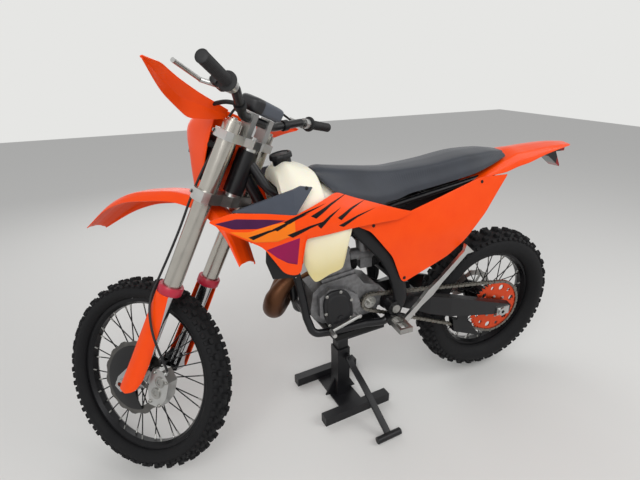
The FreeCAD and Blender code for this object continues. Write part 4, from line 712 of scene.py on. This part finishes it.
# The mould is polished, so the plastic is glossy, with a waviness of a few centimetres in its sheen
# and fine scratches where boots and brush rub it.
orange = coated("injection-moulded polypropylene, orange", ("F14200", "F95003"), 3.0, 0.006, 0.33,
                coat=0.06, worn=0.03, gloss=0.22)
FILMS = (  # name, colours, then the field's upper and lower edge in (x, z)
    ("amber", ("F07207", "F67F0C"),
     ((462, 946), (405, 938), (330, 950), (262, 950)), ((462, 946), (390, 902), (320, 892), (262, 906))),
    ("purple", ("3A0E38", "4A1546"),
     ((500, 975), (440, 982), (350, 968), (292, 956)), ((500, 975), (452, 953), (380, 944), (292, 956))),
    ("magenta", ("7E0642", "98084C"),
     ((356, 870), (320, 878), (280, 886), (248, 892)), ((356, 870), (325, 838), (290, 812), (258, 800))))
film_black = coated("printed vinyl film, black", ("040406", "09090D"), 0.6, 0.01, 0.36, gloss=0.2)
BARS = (  # x, z of the rear tip, then how far forward and down it runs, and its width
    (60, 1000, 150, 44, 7), (-6, 968, 120, 36, 7), (96, 962, 92, 40, 8), (-40, 936, 150, 30, 6),
    (150, 986, 150, 34, 6), (140, 935, 150, 26, 8), (215, 966, 120, 30, 6), (290, 938, 120, 16, 7))
FILM_LIFT, BAR_LIFT, FILM_WALL = 0.45, 0.8, 0.3
# a black guard behind the lower corner shields the foot of the radiator
RADIATOR_GUARD = ((348, 880), (354, 812), (334, 748)), ((290, 880), (256, 800), (238, 738))
GUARD_Y = 164.0
for side, word in SIDES:
    outward = (0, side, 0)
    skin = on_side(SHROUD, SHROUD_LEVELS, SHROUD_TOP, SHROUD_FOOT, side)
    shell(f"shroud_skin_{word}", skin, WALL, outward, ROOT, orange, stands_for=(f"shroud_{word}",))
    for name, tones, upper, lower in FILMS:
        film = coated(f"printed vinyl film, {name}", tones, 0.6, 0.01, 0.33, coat=0.04, gloss=0.25)
        spread = on_side(SHROUD, SHROUD_LEVELS, upper, lower, side, FILM_LIFT, 50, 16, 3)
        shell(f"{name}_field_{word}", spread, FILM_WALL, outward, ROOT, film, rim_mm=0)
    for i, (x, z, run, drop, wide) in enumerate(BARS):
        tip, foot = np.array([x, z]), np.array([x + run, z - drop])
        middle, bulge = (tip + foot) / 2, (0, wide * 0.55)
        upper, lower = (tip, middle + bulge, foot), (tip, middle - bulge, foot - (run * 0.12, wide * 1.5))
        spread = on_side(SHROUD, SHROUD_LEVELS, upper, lower, side, BAR_LIFT, 30, 5, 1)
        shell(f"black_bar_{i + 1}_{word}", spread, FILM_WALL, outward, ROOT, film_black, rim_mm=0)
    duct = between(*RADIATOR_GUARD, 60, 14, 5)
    duct = woven(duct[..., 0], side * GUARD_Y, duct[..., 1])
    shell(f"radiator_guard_{word}", duct, WALL, outward, ROOT, black_plastic)
grey_plastic = coated("moulded nylon, slate grey", ("3A3F49", "484D58"), 0.9, 0.06, 0.44, gloss=0.35)
dress(grey_plastic, "shroud_caps")
screws("shroud_cap_screws", [(212, side * 164.5, 1038) for side in (1, -1)], [(0, 1, 0.25), (0, -1, 0.25)],
       5.0, 3.0, ROOT, cover_cast)


# Side panels. The same orange plastic, plain, hung from the subframe and held by three screws; on the
# right the panel is drawn in behind the silencer.

PANEL_LEVELS = (600, 700, 800, 900, 985)
PANEL_ROWS = (  # x, share of the tuck, half width at each level
    (-670, 0.0, (104, 104, 100, 92, 84)), (-520, 0.5, (118, 120, 116, 104, 92)),
    (-350, 1.0, (130, 130, 132, 116, 100)), (-230, 1.0, (131, 132, 134, 120, 106)),
    (-150, 0.6, (132, 132, 134, 124, 112)), (40, 0.0, (134, 138, 140, 134, 126)))
PANEL_DRAWN = np.array([0.0, 0.6, 1.0, 1.0, 0.2])
PANEL_TOP = ((34, 880), (-60, 876), (-140, 874), (-196, 896), (-300, 923), (-400, 949), (-516, 978),
             (-652, 974))
PANEL_FOOT = ((34, 880), (-32, 845), (-125, 731), (-171, 614), (-369, 693), (-442, 742), (-546, 839),
              (-652, 974))
PANEL_SCREWS = np.array([(-178, 636), (-40, 866), (-520, 960)], float)
for side, word, tuck in ((1, "left", 0), (-1, "right", 20)):
    table = [(x, np.array(half) - tuck * share * PANEL_DRAWN) for x, share, half in PANEL_ROWS]
    skin = on_side(table, PANEL_LEVELS, PANEL_TOP, PANEL_FOOT, side, 0.0, 120, 36, 5)
    shell(f"side_skin_{word}", skin, WALL, (0, side, 0), ROOT, orange, stands_for=(f"side_panel_{word}",))
    level = side * (flank(table, PANEL_LEVELS, PANEL_SCREWS) - 0.5)
    screws(f"side_panel_screws_{word}", np.insert(PANEL_SCREWS, 1, level, 1), (0, side, 0), 5.5, 3.2,
           material=black_plastic)


# Fenders. Arched blades of the same plastic, with a crowned back and edges rolled down into skirts.
# The rear one carries the tail lamp; the front one has a raised rib and hangs under the fork clamps.

BLADE_SHARES, BLADE_SKIRTS, BLADE_CROWNS = np.array([  # half width, skirt and crown from edge to middle
    (1.0, 0.985, 0.95, 0.88, 0.8, 0.6, 0.4, 0.2, 0.0), (1.0, 0.78, 0.5, 0.2, 0.0, 0.0, 0.0, 0.0, 0.0),
    (0.0, 0.22, 0.5, 0.85, 1.0, 0.62, 0.3, 0.08, 0.0)])
RIB_HALF, RIB_EDGE = 17, 1.6


def blade(rows, steps, rib_mm):
    """Sections of an arched blade: each goes up a skirt, round a shoulder and over a crown, and a
    smooth rib stands on its middle. Width, height, skirt and crown drift smoothly along the blade."""
    rows = sorted(rows)
    at = np.linspace(rows[0][0], rows[-1][0], steps)
    top, half, skirt, crown = drifting(rows, at)[:, :, None]
    side = np.stack([half * BLADE_SHARES, top - skirt * BLADE_SKIRTS - crown * BLADE_CROWNS], -1)
    fine = redrawn(mirrored(side), np.arange(17.0), 61)
    fine[..., 1] += rib_mm / (1 + np.exp((np.abs(fine[..., 0]) - RIB_HALF) / RIB_EDGE)) - rib_mm
    return stationed(at, fine)


REAR_BLADE = (  # x, height, half width, skirt, crown
    (-474, 958, 88, 14, 4), (-560, 996, 86, 22, 5), (-646, 1038, 86, 54, 10), (-700, 1058, 84, 60, 12),
    (-760, 1062, 80, 54, 12), (-850, 1066, 70, 36, 9), (-950, 1066, 60, 18, 6), (-1005, 1062, 46, 10, 4))
shell("rear_fender_skin", blade(REAR_BLADE, 80, 0.8), WALL, (0, 0, 1), ROOT, orange,
      stands_for=("rear_fender",))
# An acrylic lens, dyed red through and polished, closes the rear end of a black moulded shell.
LENS_DEPTH = 0.020
red_lens = coated("dyed acrylic lens, red, in a black shell", ("7A0A0C", "951012"), 2.5, 0.05, 0.16, coat=0.5)
tree = red_lens.node_tree
_, where = placed(tree)
lens_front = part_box("tail_lamp")[0][0] + LENS_DEPTH
is_shell = remap(tree, where["X"], lens_front, lens_front + MM, 0.0, 1.0)
tint = next(node for node in tree.nodes if node.type == "BSDF_PRINCIPLED").inputs["Base Color"]
tree.links.new(blend(tree, is_shell, tint.links[0].from_socket, "0E0E10"), tint)
dress(red_lens, "tail_lamp")


# Foot lever of the stand. A flat steel bar welded to a cross piece of round tube that the foot treads
# on, and pinned to the column's side; coated like the rest of the stand.

STAND_TURN, STAND_SHIFT = math.radians(6.4), -60.0
STAND_WAYS = np.array([(math.cos(STAND_TURN), math.sin(STAND_TURN), 0),
                       (-math.sin(STAND_TURN), math.cos(STAND_TURN), 0), (0, 0, 1)])
ARM_ROUTE = ((-14, 42.0, 214), (-17, 70.0, 190), (-22, 160, 139), (-28, 250, 74), (-34, 316, 22))
ARM_HALF_WIDTH, ARM_HALF_DEPTH = 13.5, 6.0
TREAD = ((-89, 9), (-89, 12.8), (-88, 13.8), (20, 13.8), (21, 12.8), (21, 9))
PIN = ((0, 12), (1, 14), (21, 14), (22, 12.5), (22, 8), (27, 7.5), (28, 6.5))


def on_stand(points):
    """Points given square to the stand, which stands a little turned under the bike, in metres."""
    return metres(points @ STAND_WAYS + (0, STAND_SHIFT, 0))


STAND = "root", on_stand, STAND_WAYS
line, ways, _, _ = along_path(ARM_ROUTE, 50)
flat = unit(np.cross(ways, (1.0, 0.0, 0.0)))
across, upright = squared(circle(28), 0.3)
grid = (line[:, None] + np.cross(flat, ways)[:, None] * (ARM_HALF_WIDTH * across)[:, None]
        + flat[:, None] * (ARM_HALF_DEPTH * upright)[:, None])
arm = piece("stand_lever_arm", grid, STAND, stand_coat)
lathed("stand_lever_tread", (0, 326, 14), (1, 0, 0), TREAD, 32, stand_coat, STAND)
lathed("stand_lever_pin", (-14, 30, 210), LEFT, PIN, 28, stand_coat, STAND)
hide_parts("stand_lever")


# Chain. Stamped plates, two inside and two outside by turns, on pins with rollers, oiled and grey;
# it runs round a steel sprocket at the engine and a big anodised one at the wheel.

PITCH, CHAIN_PLANE = 15.875, 81.0
REAR_HUB, REAR_TEETH, DRIVE_HUB, DRIVE_TEETH = (-690.0, 367.0), 48, (-62.0, 531.0), 13
REAR_WHEEL = "rear_wheel", metres, np.eye(3)


def chain_pins():
    """Places of the pins: an even pace along two straight runs and two arcs round the sprockets, and
    the way the chain runs there."""
    (x1, z1), (x2, z2) = REAR_HUB, DRIVE_HUB
    r1, r2 = (PITCH / 2 / math.sin(math.pi / teeth) for teeth in (REAR_TEETH, DRIVE_TEETH))
    span, base = math.hypot(x2 - x1, z2 - z1), math.atan2(z2 - z1, x2 - x1)
    lean, run = math.acos((r1 - r2) / span), math.sqrt(span ** 2 - (r1 - r2) ** 2)
    small_wrap, big_wrap = 2 * lean * r2, (2 * math.pi - 2 * lean) * r1
    total = 2 * run + small_wrap + big_wrap
    count = round(total / PITCH) // 2 * 2
    s = np.arange(count) * total / count
    share = np.clip(s / run, 0, 1)
    back = np.clip((s - run - small_wrap) / run, 0, 1)
    turned = np.clip((s - run) / small_wrap, 0, 1) * 2 * lean
    rest = np.maximum(s - 2 * run - small_wrap, 0) / r1
    angle = base + lean - turned - rest
    ahead = share - back  # 0 at the rear sprocket, 1 at the engine's
    return about((x1 + (x2 - x1) * ahead, z1 + (z2 - z1) * ahead), CHAIN_PLANE, r1 + (r2 - r1) * ahead, angle)


chain_steel = coated("oiled roller-chain steel", ("6B6862", "8D8A83"), 0.8, 0.03, 0.34, metallic=1.0,
                     patch_mm=12)
pins = chain_pins()
ways = np.roll(pins, -1, 0) - pins
middles = pins + ways / 2
ways = unit(ways)
across = np.repeat([LEFT], len(ways), 0)
axes = np.stack([ways, across, np.cross(ways, across)], 1)
rounded = [(7.9 + 6.6 * math.cos(a), 6.6 * math.sin(a)) for a in (-1.9, -0.9, 0, 0.9, 1.9)]
outline = rounded + [(0, 4.3)] + [(-x, z) for x, z in rounded][::-1] + [(0, -4.3)]
count = len(outline)
for name, start, inner, outer in (("chain_inner_links", 0, 4.0, 5.5), ("chain_outer_links", 1, 5.8, 7.3)):
    plates = [(x, y, z) for y in (inner, outer, -outer, -inner) for x, z in outline]
    faces = ringed(2, count) + ringed(2, count, 2 * count)
    many(name, plates, faces, middles[start::2], axes[start::2], ROOT, chain_steel)
roller = [(r * math.cos(a), y, r * math.sin(a)) for r, y in ((4.9, -3.9), (4.9, 3.9), (2.4, -8.0), (2.4, 8.0))
          for a in circle(10)]
rollers = many("chain_rollers", roller, ringed(2, 10) + ringed(2, 10, 20), pins, axes, ROOT, chain_steel)
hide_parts("chain")
# Hard anodising leaves an even satin orange-red, a little paler in patches.
sprocket_orange = coated("hard-anodised aluminium, orange", ("D2401A", "E0542A"), 0.9, 0.03, 0.33,
                         metallic=0.75)
dress(sprocket_orange, "rear_sprocket")
screws("drive_sprocket_bolt", [(DRIVE_HUB[0], 95, DRIVE_HUB[1])], (0, 1, 0), 9.0, 6.0)
screws("rear_sprocket_bolts", about(REAR_HUB, 84.0, 52, circle(6, 0.3)), (0, 1, 0), 6.0, 5.0, REAR_WHEEL)


# Wheels. Nylon-carcass tyres with moulded knobs, on black anodised rims laced with 36 steel spokes,
# each held by a nickel-plated nipple; laser-cut discs, and a plastic guard over the front one.

joint = next(joint for joint in frame["joints"] if joint["name"] == "steering_turn")
STEER_AT, STEER_WAY = np.array(joint["pos_m"]), np.array(joint["axis"])
REST_TURN = math.radians(-46.0)
ahead = np.array([STEER_WAY[2], 0.0, -STEER_WAY[0]])
STEERED = np.array([ahead * math.cos(REST_TURN) + LEFT * math.sin(REST_TURN),
                    LEFT * math.cos(REST_TURN) - ahead * math.sin(REST_TURN), STEER_WAY])


def steered(points):
    """Fork-frame points (forward, left, along the steering axis, in mm) in the row frame, in metres:
    each is the axis's foot plus its three lengths along the fork's turned axes."""
    return np.asarray(points, float) @ STEERED * MM + STEER_AT


FORK = "steering", steered, STEERED
FRONT_HUB, FRONT_WHEEL = (58.0, 0.0), ("front_wheel", steered, STEERED)
WHEELS = {"front": (FRONT_HUB, FRONT_WHEEL), "rear": (REAR_HUB, REAR_WHEEL)}
KNOB_RINGS = ((1.14, -0.25), (1.0, 0.72), (0.86, 1.0))
KNOB_CORNERS = ((1, 0.55), (0.7, 1), (-0.7, 1), (-1, 0.55), (-1, -0.55), (-0.7, -1), (0.7, -1), (1, -0.55))


def tyre(word, profile, rows, knobs):
    """A casing, its profile swept round the axle, and knobs in rows that stand square to the casing:
    knobs gives the arc from the middle line, half length, half width, height and which rows."""
    centre, where = WHEELS[word]
    whole = mirrored(np.array(profile, float))
    arc = np.concatenate([[0], np.cumsum(np.linalg.norm(np.diff(whole, axis=0), axis=1))])
    arc -= arc[-1] / 2
    at = np.linspace(arc[0], arc[-1], 44)
    line = through(arc, whole, at)
    grid = about(centre, line[None, :, 0], line[None, :, 1], circle(160)[:, None])
    casing = piece(f"{word}_casing", grid, where, tyre_rubber, wrap=(True, True), caps=False)
    slopes = np.gradient(line, at, axis=0)
    for knob, (offset, long, wide, tall, odd) in knobs.items():
        angle = np.repeat((np.arange(rows) * 2 + odd) * np.pi / rows, 2)
        s = np.tile([offset, -offset], rows)
        y, r, dy, dr = (np.interp(s, at, column) for column in (*line.T, *slopes.T))
        dy, dr = unit(np.stack([dy, dr], 1)).T
        cos, sin = np.cos(angle), np.sin(angle)
        out = np.stack([dy * cos, -dr, dy * sin], 1)
        out *= np.sign((out * np.stack([cos, 0 * cos, sin], 1)).sum(1))[:, None]
        round_way = np.stack([-sin, 0 * sin, cos], 1)
        lean = np.stack([round_way, np.cross(out, round_way), out], 1)
        shape = [(long * x * grow, wide * z * grow, tall * high) for grow, high in KNOB_RINGS
                 for x, z in KNOB_CORNERS]
        spots = about(centre, y, r, angle)
        many(f"{word}_{knob}_knobs", shape, ringed(3, 8), spots, lean, where, tyre_rubber)
    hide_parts(f"{word}_tyre")


# Moulded rubber: matt, with a fine mould texture, its black a little greyer in patches.
tyre_rubber = coated("moulded tyre rubber, natural and carbon black", ("0A0A0C", "171719"), 1.6, 0.14, 0.74,
                     patch_mm=35, gloss=0.25)
tyre("front", ((28, 274), (38, 280), (47, 291), (46, 307), (31, 323.1), (17, 331), (0, 334)), 38,
     {"centre": (11.5, 10, 7.5, 13.6, 0), "middle": (27.5, 10, 6.6, 10.2, 1),
      "shoulder": (43.5, 8.5, 6, 8.5, 0), "edge": (44.5, 7, 5.5, 5, 1)})
tyre("rear", ((39, 237), (52, 246), (65, 264), (64, 296), (43.6, 314.4), (24, 323.4), (0, 327)), 34,
     {"centre": (13, 12.5, 10.5, 15.8, 0), "middle": (36, 12, 9.5, 15, 1), "shoulder": (58, 10, 6.5, 9, 0),
      "edge": (60, 8, 6, 8, 1)})

rim_coat = coated("black anodised aluminium", ("101012", "1A1A1D"), 0.8, 0.02, 0.30, metallic=0.6)
disc_steel = coated("laser-cut stainless steel", ("8F8F8D", "B4B4B1"), 0.6, 0.02, 0.28, metallic=1.0)
dark_disc = coated("laser-cut steel, heat darkened", ("4E4D4C", "757370"), 0.6, 0.02, 0.34, metallic=1.0,
                   patch_mm=20)
dress(rim_coat, "rear_rim", "front_rim")
dress(disc_steel, "rear_disc")
dress(dark_disc, "front_disc")
SPOKES, SPOKE_SWEEP, NIPPLE_ASIDE = 36, 0.48, 8.0  # the sweep is the angle between a spoke's ends
NIPPLE = ((3.6, -2.0), (3.6, 5.0), (3.0, 6.0), (3.0, 17.0), (2.4, 18.0))
# the nipples' radius in the rim, then half the distance and the radius of the holes in the hub
for word, rim, flange, hub in (("front", 253.0, 36.0, 28.0), ("rear", 216.0, 40.0, 40.0)):
    centre, where = WHEELS[word]
    i = np.arange(SPOKES)
    side = np.where(i % 2 == 1, 1.0, -1.0)
    at_rim = circle(SPOKES)
    at_hub = at_rim + np.where((i // 2) % 2 == 1, SPOKE_SWEEP, -SPOKE_SWEEP)
    near = about(centre, side * NIPPLE_ASIDE, rim, at_rim)
    far = about(centre, side * flange, hub, at_hub)
    axes = facing(far - near)
    many(f"{word}_spoke_nipples", spun(NIPPLE, 8), ringed(5, 8), near, axes, where, bright_steel)
screws("front_disc_bolts", about(FRONT_HUB, 64.0, 34.0, circle(6, 0.4)), LEFT, 5.0, 4.0, FRONT_WHEEL)
# The guard is a shallow dish of black plastic on the axle lug, with its rim turned in over the disc.
DISH = ((112, 67.5), (104, 70), (84, 74), (62, 77), (42, 79), (30, 80))
radius, rise = np.array(DISH, float).T
grid = about(FRONT_HUB, rise, radius, np.linspace(-2.35, 2.0, 70)[:, None])
shell("front_disc_guard", grid, 2.5, LEFT, FORK, black_plastic)


# Front caliper. Forged body with two pistons behind turned caps, and hollow bolts through the lug.

screws("caliper_piston_caps", [(-62, 92, 26), (-60, 92, 68)], LEFT, 16.5, 4.0, FORK, sides=24)
screws("caliper_bolts", [(-90, 92, -6), (-52, 92, -12), (-84, 92, 80), (-28, 92, 88)], LEFT, 5.5, 6.0, FORK)


# Fork. Clear anodised outer tubes over hard-chromed legs with forged axle lugs, clamped by machined
# yokes; orange plastic guards wrap the legs and each ends in a crimson ring at the tube's wiper.

fork_anodised = coated("clear anodised aluminium", ("A7A39C", "BFBBB3"), 0.6, 0.004, 0.24, metallic=0.9,
                       worn=0.015)
chrome = coated("hard-chromed steel", ("B9B9BB", "C9C9CB"), 0.6, 0.003, 0.15, metallic=1.0, worn=0.01)
dress(fork_anodised, "fork_outer_tubes")
dress(chrome, "fork_inner_tubes")
dress(forged, "rear_caliper", "front_caliper", "fork_clamps", "hand_controls")
wiper_red = coated("moulded nylon, crimson", ("A5162E", "BC2740"), 0.9, 0.04, 0.36)
FORK_GUARD = (  # along the leg, from which angle to which, radius
    (-6, 8, 96, 40), (10, -14, 128, 40.5), (40, -24, 150, 40), (90, -26, 158, 39), (200, -24, 150, 39),
    (300, -20, 138, 39), (368, -14, 128, 39))
LEG_AHEAD, LEG_SIDE = 22, 102
RIDGE_AT, RIDGE_HALF, RIDGE_HEIGHT = 0.9, 0.25, 2.0  # a ridge runs down the guard, its place an angle
WIPER = ((369, 38.5), (371, 39.8), (394, 39.8), (397, 38), (397, 30), (369, 30))  # along the leg, radius
wiper_height, wiper_radius = np.array(WIPER).T[:, :, None]
along = np.linspace(FORK_GUARD[0][0], FORK_GUARD[-1][0], 70)[:, None]
low, high, radius = drifting(FORK_GUARD, along[:, 0])[:, :, None]
share = np.linspace(0, 1, 30)
turn = np.radians(low * (1 - share) + high * share)
bulge = radius + RIDGE_HEIGHT * np.exp(-((turn - RIDGE_AT) / RIDGE_HALF) ** 2)


def round_leg(radius, turn, along):
    """Points round the left leg in the fork's frame, the angle counted from the front outwards."""
    return woven(LEG_AHEAD + radius * np.cos(turn), LEG_SIDE + radius * np.sin(turn), along)


guard_face = round_leg(bulge, turn, along)
wiper = round_leg(wiper_radius, circle(48), wiper_height)
for side, word in SIDES:
    guard = shell(f"fork_guard_{word}", guard_face * (1, side, 1), WALL, (0.6, side, 0), FORK, orange)
    if side > 0:
        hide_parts("fork_guards")
    ring = wiper + (0, (side - 1) * LEG_SIDE, 0)
    piece(f"wiper_ring_{word}", ring, FORK, wiper_red, wrap=(True, True), caps=False)
clamp_bolts = [(58, s * y, a) for s in (1, -1) for y in (80, 124) for a in (707, 903)]
screws("clamp_bolts", clamp_bolts, (1, 0, 0), 5.5, 6.0, FORK)
fork_caps = [(LEG_AHEAD, side * LEG_SIDE, 954) for side in (1, -1)]
screws("fork_cap_screws", fork_caps, (0, 0, 1), 9.0, 6.0, FORK, sides=12)

FRONT_BLADE = (  # forward, height, half width, skirt, crown
    (-150, 560, 50, 16, 5), (-60, 642, 60, 30, 9), (40, 683, 66, 42, 12), (150, 680, 74, 50, 14),
    (250, 640, 80, 52, 14), (345, 582, 78, 46, 12), (410, 512, 68, 34, 9), (486, 388, 44, 12, 5))
shell("front_fender_skin", blade(FRONT_BLADE, 90, 1.6), WALL, (0, 0, 1), FORK, orange,
      stands_for=("front_fender",))


# Headlight mask. A thin orange moulding bent round the front of the fork, carried on two rubber
# mounts a side; its window holds a clear lens over a dark bowl.

MASK = (  # along, forward at the centre, at the knees and at the rear edges, half width
    (690, 122, 114, 74, 52), (780, 168, 152, 72, 92), (880, 206, 190, 74, 118), (965, 172, 160, 92, 104))
WINDOW_HALF, WINDOW_LOW, WINDOW_HIGH = 50.3, 796.7, 866.3
WINDOW_CELLS = slice(15, 25), slice(8, 24)
KNEE = 0.61  # share of the half width
along = np.concatenate([np.linspace(MASK[0][0], WINDOW_LOW, 16),
                        np.linspace(WINDOW_LOW, WINDOW_HIGH, 11)[1:],
                        np.linspace(WINDOW_HIGH, MASK[-1][0], 16)[1:]])
centre, knee, rear, half = drifting(MASK, along)
edge = (WINDOW_HALF / half)[:, None]
near = np.linspace(0, 1, 9)[None, :]
share = np.concatenate([-1 + (1 - edge) * near, -edge + 2 * edge * np.linspace(0, 1, 17)[None, 1:],
                        edge + (1 - edge) * near[:, 1:]], 1)
weights = through((-1, -KNEE, 0, KNEE, 1), np.eye(5), share.ravel()).reshape(share.shape + (5,))
ahead_by = (weights * np.stack([rear, knee, centre, knee, rear], 1)[:, None, :]).sum(-1)
grid = woven(ahead_by, share * half[:, None], along[:, None])
keep = np.ones((len(along) - 1, share.shape[1] - 1), bool)
keep[WINDOW_CELLS] = False
shell("headlight_mask_skin", grid, WALL, (1, 0, 0), FORK, orange, keep=keep.ravel(),
      stands_for=("headlight_mask",))
# A moulded lens of clear polycarbonate; over its dark bowl it reads as smoky glass with a hard gloss.
clear_lens = coated("clear polycarbonate lens over a dark bowl", ("2E3338", "454B52"), 2.0, 0.01, 0.08,
                    coat=0.6, worn=0.02)
dress(clear_lens, "headlight")
BOWL = (  # forward, half width, low, high
    (86, 58, 784, 884), (90, 64, 778, 892), (140, 62, 784, 886), (172, 54, 794, 872), (184, 44, 800, 858))
forward, half, low, high = np.array(BOWL, float).T[:, :, None]
across, upright = squared(circle(40), 0.5)
height = (low + high) / 2 + (high - low) / 2 * upright
piece("headlight_bowl", woven(forward, half * across, height), FORK, black_plastic)
# Six small reflectors stand behind it in two rows, each a shallow chromed cup.
CUP = ((13.6, 0.2), (13.6, 1.5), (13.0, 1.8), (12.2, 1.6), (9.0, 1.0), (5.0, 0.7), (1.0, 0.6))
LENS_UP, LENS_AHEAD = np.array([0.304, 0.0, 0.953]), np.array([0.953, 0.0, -0.304])
cups = [np.array([187.5, y, 831.5]) + LENS_UP * rise for rise in (-16.5, 16.5) for y in (-31, 0, 31)]
cup_axes = facing(np.repeat([LENS_AHEAD], 6, 0))
many("headlight_reflectors", spun(CUP, 24), ringed(7, 24), cups, cup_axes, FORK, chrome)
for side, word in SIDES:
    for level, y, reach in ((858, 104, 71), (752, 84, 70)):
        mount = (48, 11), (52, 9), (reach - 4, 9), (reach, 12)
        lathed(f"mask_mount_{word}_{level}", (0, side * y, level), (1, 0, 0), mount, 20, stand_rubber, FORK)


# Handlebar. Tapered aluminium tube with soft rubber grips, a foam pad in a two-tone cover over its
# clamps, forged levers, and orange plastic guards on black arms in front of the hands.

BEND, END = np.array([-25.0, 215.0, 1030.0]), np.array([-47.0, 404.0, 1059.0])
grip_rubber = coated("soft grip rubber", ("0D0D0F", "18181A"), 0.8, 0.1, 0.62)
GRIP = ((0.0, 24), (0.6, 27), (3.4, 27), (4.4, 24), (5.5, 18.5))
GRIP_STARTS, RIB_SPACING = 0.28, 5.2
HAND_TOP = ((92, 972), (200, 984), (286, 998), (360, 1014), (440, 1010))
HAND_FOOT = ((92, 944), (150, 925), (215, 908), (320, 946), (438, 1004))
HAND_BEND = ((92, 60), (150, 74), (240, 98), (330, 104), (440, 84))  # out from the middle, forward
CLAMP_FOOT = np.array([6.0, 92.0, 974.0])
grip_start = BEND + (END - BEND) * GRIP_STARTS
grip_way, grip_length = unit(END - grip_start), np.linalg.norm(END - grip_start) + 4
along = np.linspace(7, grip_length - 5, 120)
ribs = 16.2 + 0.5 * np.clip(np.sin(along * 2 * np.pi / RIB_SPACING) * 2, -1, 1)
grip = np.concatenate([GRIP, np.stack([along, ribs], 1),
                       [(grip_length - 2, 17.2), (grip_length, 15.7), (grip_length, 6.0)]])
face = between(HAND_TOP, HAND_FOOT, 80, 22, 7)
forward = drifting(HAND_BEND, face[..., 0].ravel()).reshape(face.shape[:2])
forward = forward + 7 * (1 - np.abs(np.linspace(-1, 1, 22))) - 3
clamp_rise = BEND - CLAMP_FOOT
clamp = np.array([(0.35, 17.5), (0.36, 19), (0.5, 19), (0.51, 17.5)]) * (np.linalg.norm(clamp_rise), 1)
arm_start = CLAMP_FOOT + clamp_rise * 0.43
for side, word in SIDES:
    flip = np.array([1.0, side, 1.0])
    line = (grip_start + grip_way * grip[:, :1]) * flip
    grid = round_grid(line, grip_way * flip, grip[:, 1], 28)
    piece(f"grip_{word}", grid, FORK, grip_rubber, sharp=60)
    grid = woven(forward, side * face[..., 0], face[..., 1])
    guard = shell(f"hand_guard_{word}", grid, WALL, (1, 0, 0), FORK, orange)
    if side > 0:
        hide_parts("hand_guards")
    lathed(f"guard_clamp_{word}", CLAMP_FOOT * flip, unit(clamp_rise) * flip, clamp, 28, black_plastic, FORK)
    route = np.array([arm_start + (16, 0, 0), arm_start + (40, 6, -6), (73, 150, 972)]) * flip
    line, ways, _, _ = along_path(route, 14)
    piece(f"guard_arm_{word}", round_grid(line, ways, 6.5, 14), FORK, black_plastic)
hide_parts("grips")
# The clutch's master cylinder lies in front of the bar, inside its lever, with a square reservoir.
bar_way = unit(END - BEND)
foot = BEND + bar_way * 4 + (33, 0, -10)
cylinder = (0, 7), (0.5, 10), (8, 10.5), (8.5, 13), (52, 13), (53, 11), (64, 11), (65, 8)
lathed("clutch_master_cylinder", foot, bar_way, cylinder, 24, cover_cast, FORK)
reservoir = (6, 13), (7, 14), (20, 14), (21, 13)
lathed("clutch_reservoir", foot + bar_way * 30, (0, 0, 1), reservoir, 8, black_plastic, FORK)
lathed("switch_block_left", BEND, bar_way, ((14, 15), (15, 16.5), (33, 16.5), (34, 15)), 24, black_plastic,
       FORK)

# Pad: a brick of foam, its corners rounded off, in a tight cover that is black on the left half and
# slate grey on the right, with a welded seam between.
side_vinyl = coated("smooth black vinyl", ("101113", "1A1B1F"), 1.0, 0.12, 0.46)
pad_cover = coated("welded pad vinyl, slate grey", ("474C55", "565C66"), 1.0, 0.12, 0.55)
PAD_HALF, PAD_DEEP, PAD_TALL = 93.0, 37, 23.2  # half its length, depth and height
PAD_AHEAD, PAD_RISE = 9, 1018  # its middle
PAD_SEAM, SEAM_DEPTH, SEAM_HALF = 46.0, 0.03, 1.8
y = PAD_HALF * np.sin(np.linspace(-np.pi / 2, np.pi / 2, 71))[:, None]
draw = np.clip(1 - np.abs(y / PAD_HALF) ** 9, 0.0004, 1) ** 0.34
draw = draw - SEAM_DEPTH * np.exp(-((y - PAD_SEAM) / SEAM_HALF) ** 2)
across, upright = squared(circle(44), 0.45)
grid = woven(PAD_AHEAD + PAD_DEEP * draw * across, y, PAD_RISE + PAD_TALL * draw * upright)
pad = piece("bar_pad_cover", grid, FORK, pad_cover, sharp=70, stands_for=("bar_pad",))
pad.data.materials.append(side_vinyl)
middles = np.array([face.center[:] for face in pad.data.polygons])
is_left = ((middles - STEER_AT) @ STEERED[1]) > PAD_SEAM * MM
pad.data.polygons.foreach_set("material_index", is_left.astype(np.int32))
pad.data.update()


# Front brake hose. Braided line in a black nylon sleeve, from the master cylinder round the steering
# head and down the left leg to the caliper, held by clips on the way.

HOSE = ((18, -228.8, 1024), (40, -176, 1034), (60, -100, 1044), (76, -30, 1032), (80, 36, 990), (70, 72, 920),
        (66, 84, 850), (66, 102, 770), (67, 107, 680), (65, 106, 590), (68, 106, 500), (70, 112, 405),
        (52, 148, 330), (-4, 156, 250), (-46, 124, 176), (-64, 80, 111))
route = steered(HOSE)
curve = bpy.data.curves.new("front_brake_hose_line", "CURVE")
curve.dimensions, curve.bevel_depth, curve.bevel_resolution, curve.use_fill_caps = "3D", 0.004, 4, True
spline = curve.splines.new("NURBS")
spline.points.add(len(route) - 1)
spline.points.foreach_set("co", np.hstack([route, np.ones((len(route), 1))]).ravel())
spline.order_u, spline.use_endpoint_u, spline.resolution_u = 3, True, 8
hose = in_scene("front_brake_hose_line", curve)
curve.materials.append(grip_rubber)
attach(hose, "steering")
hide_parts("front_brake_hose")
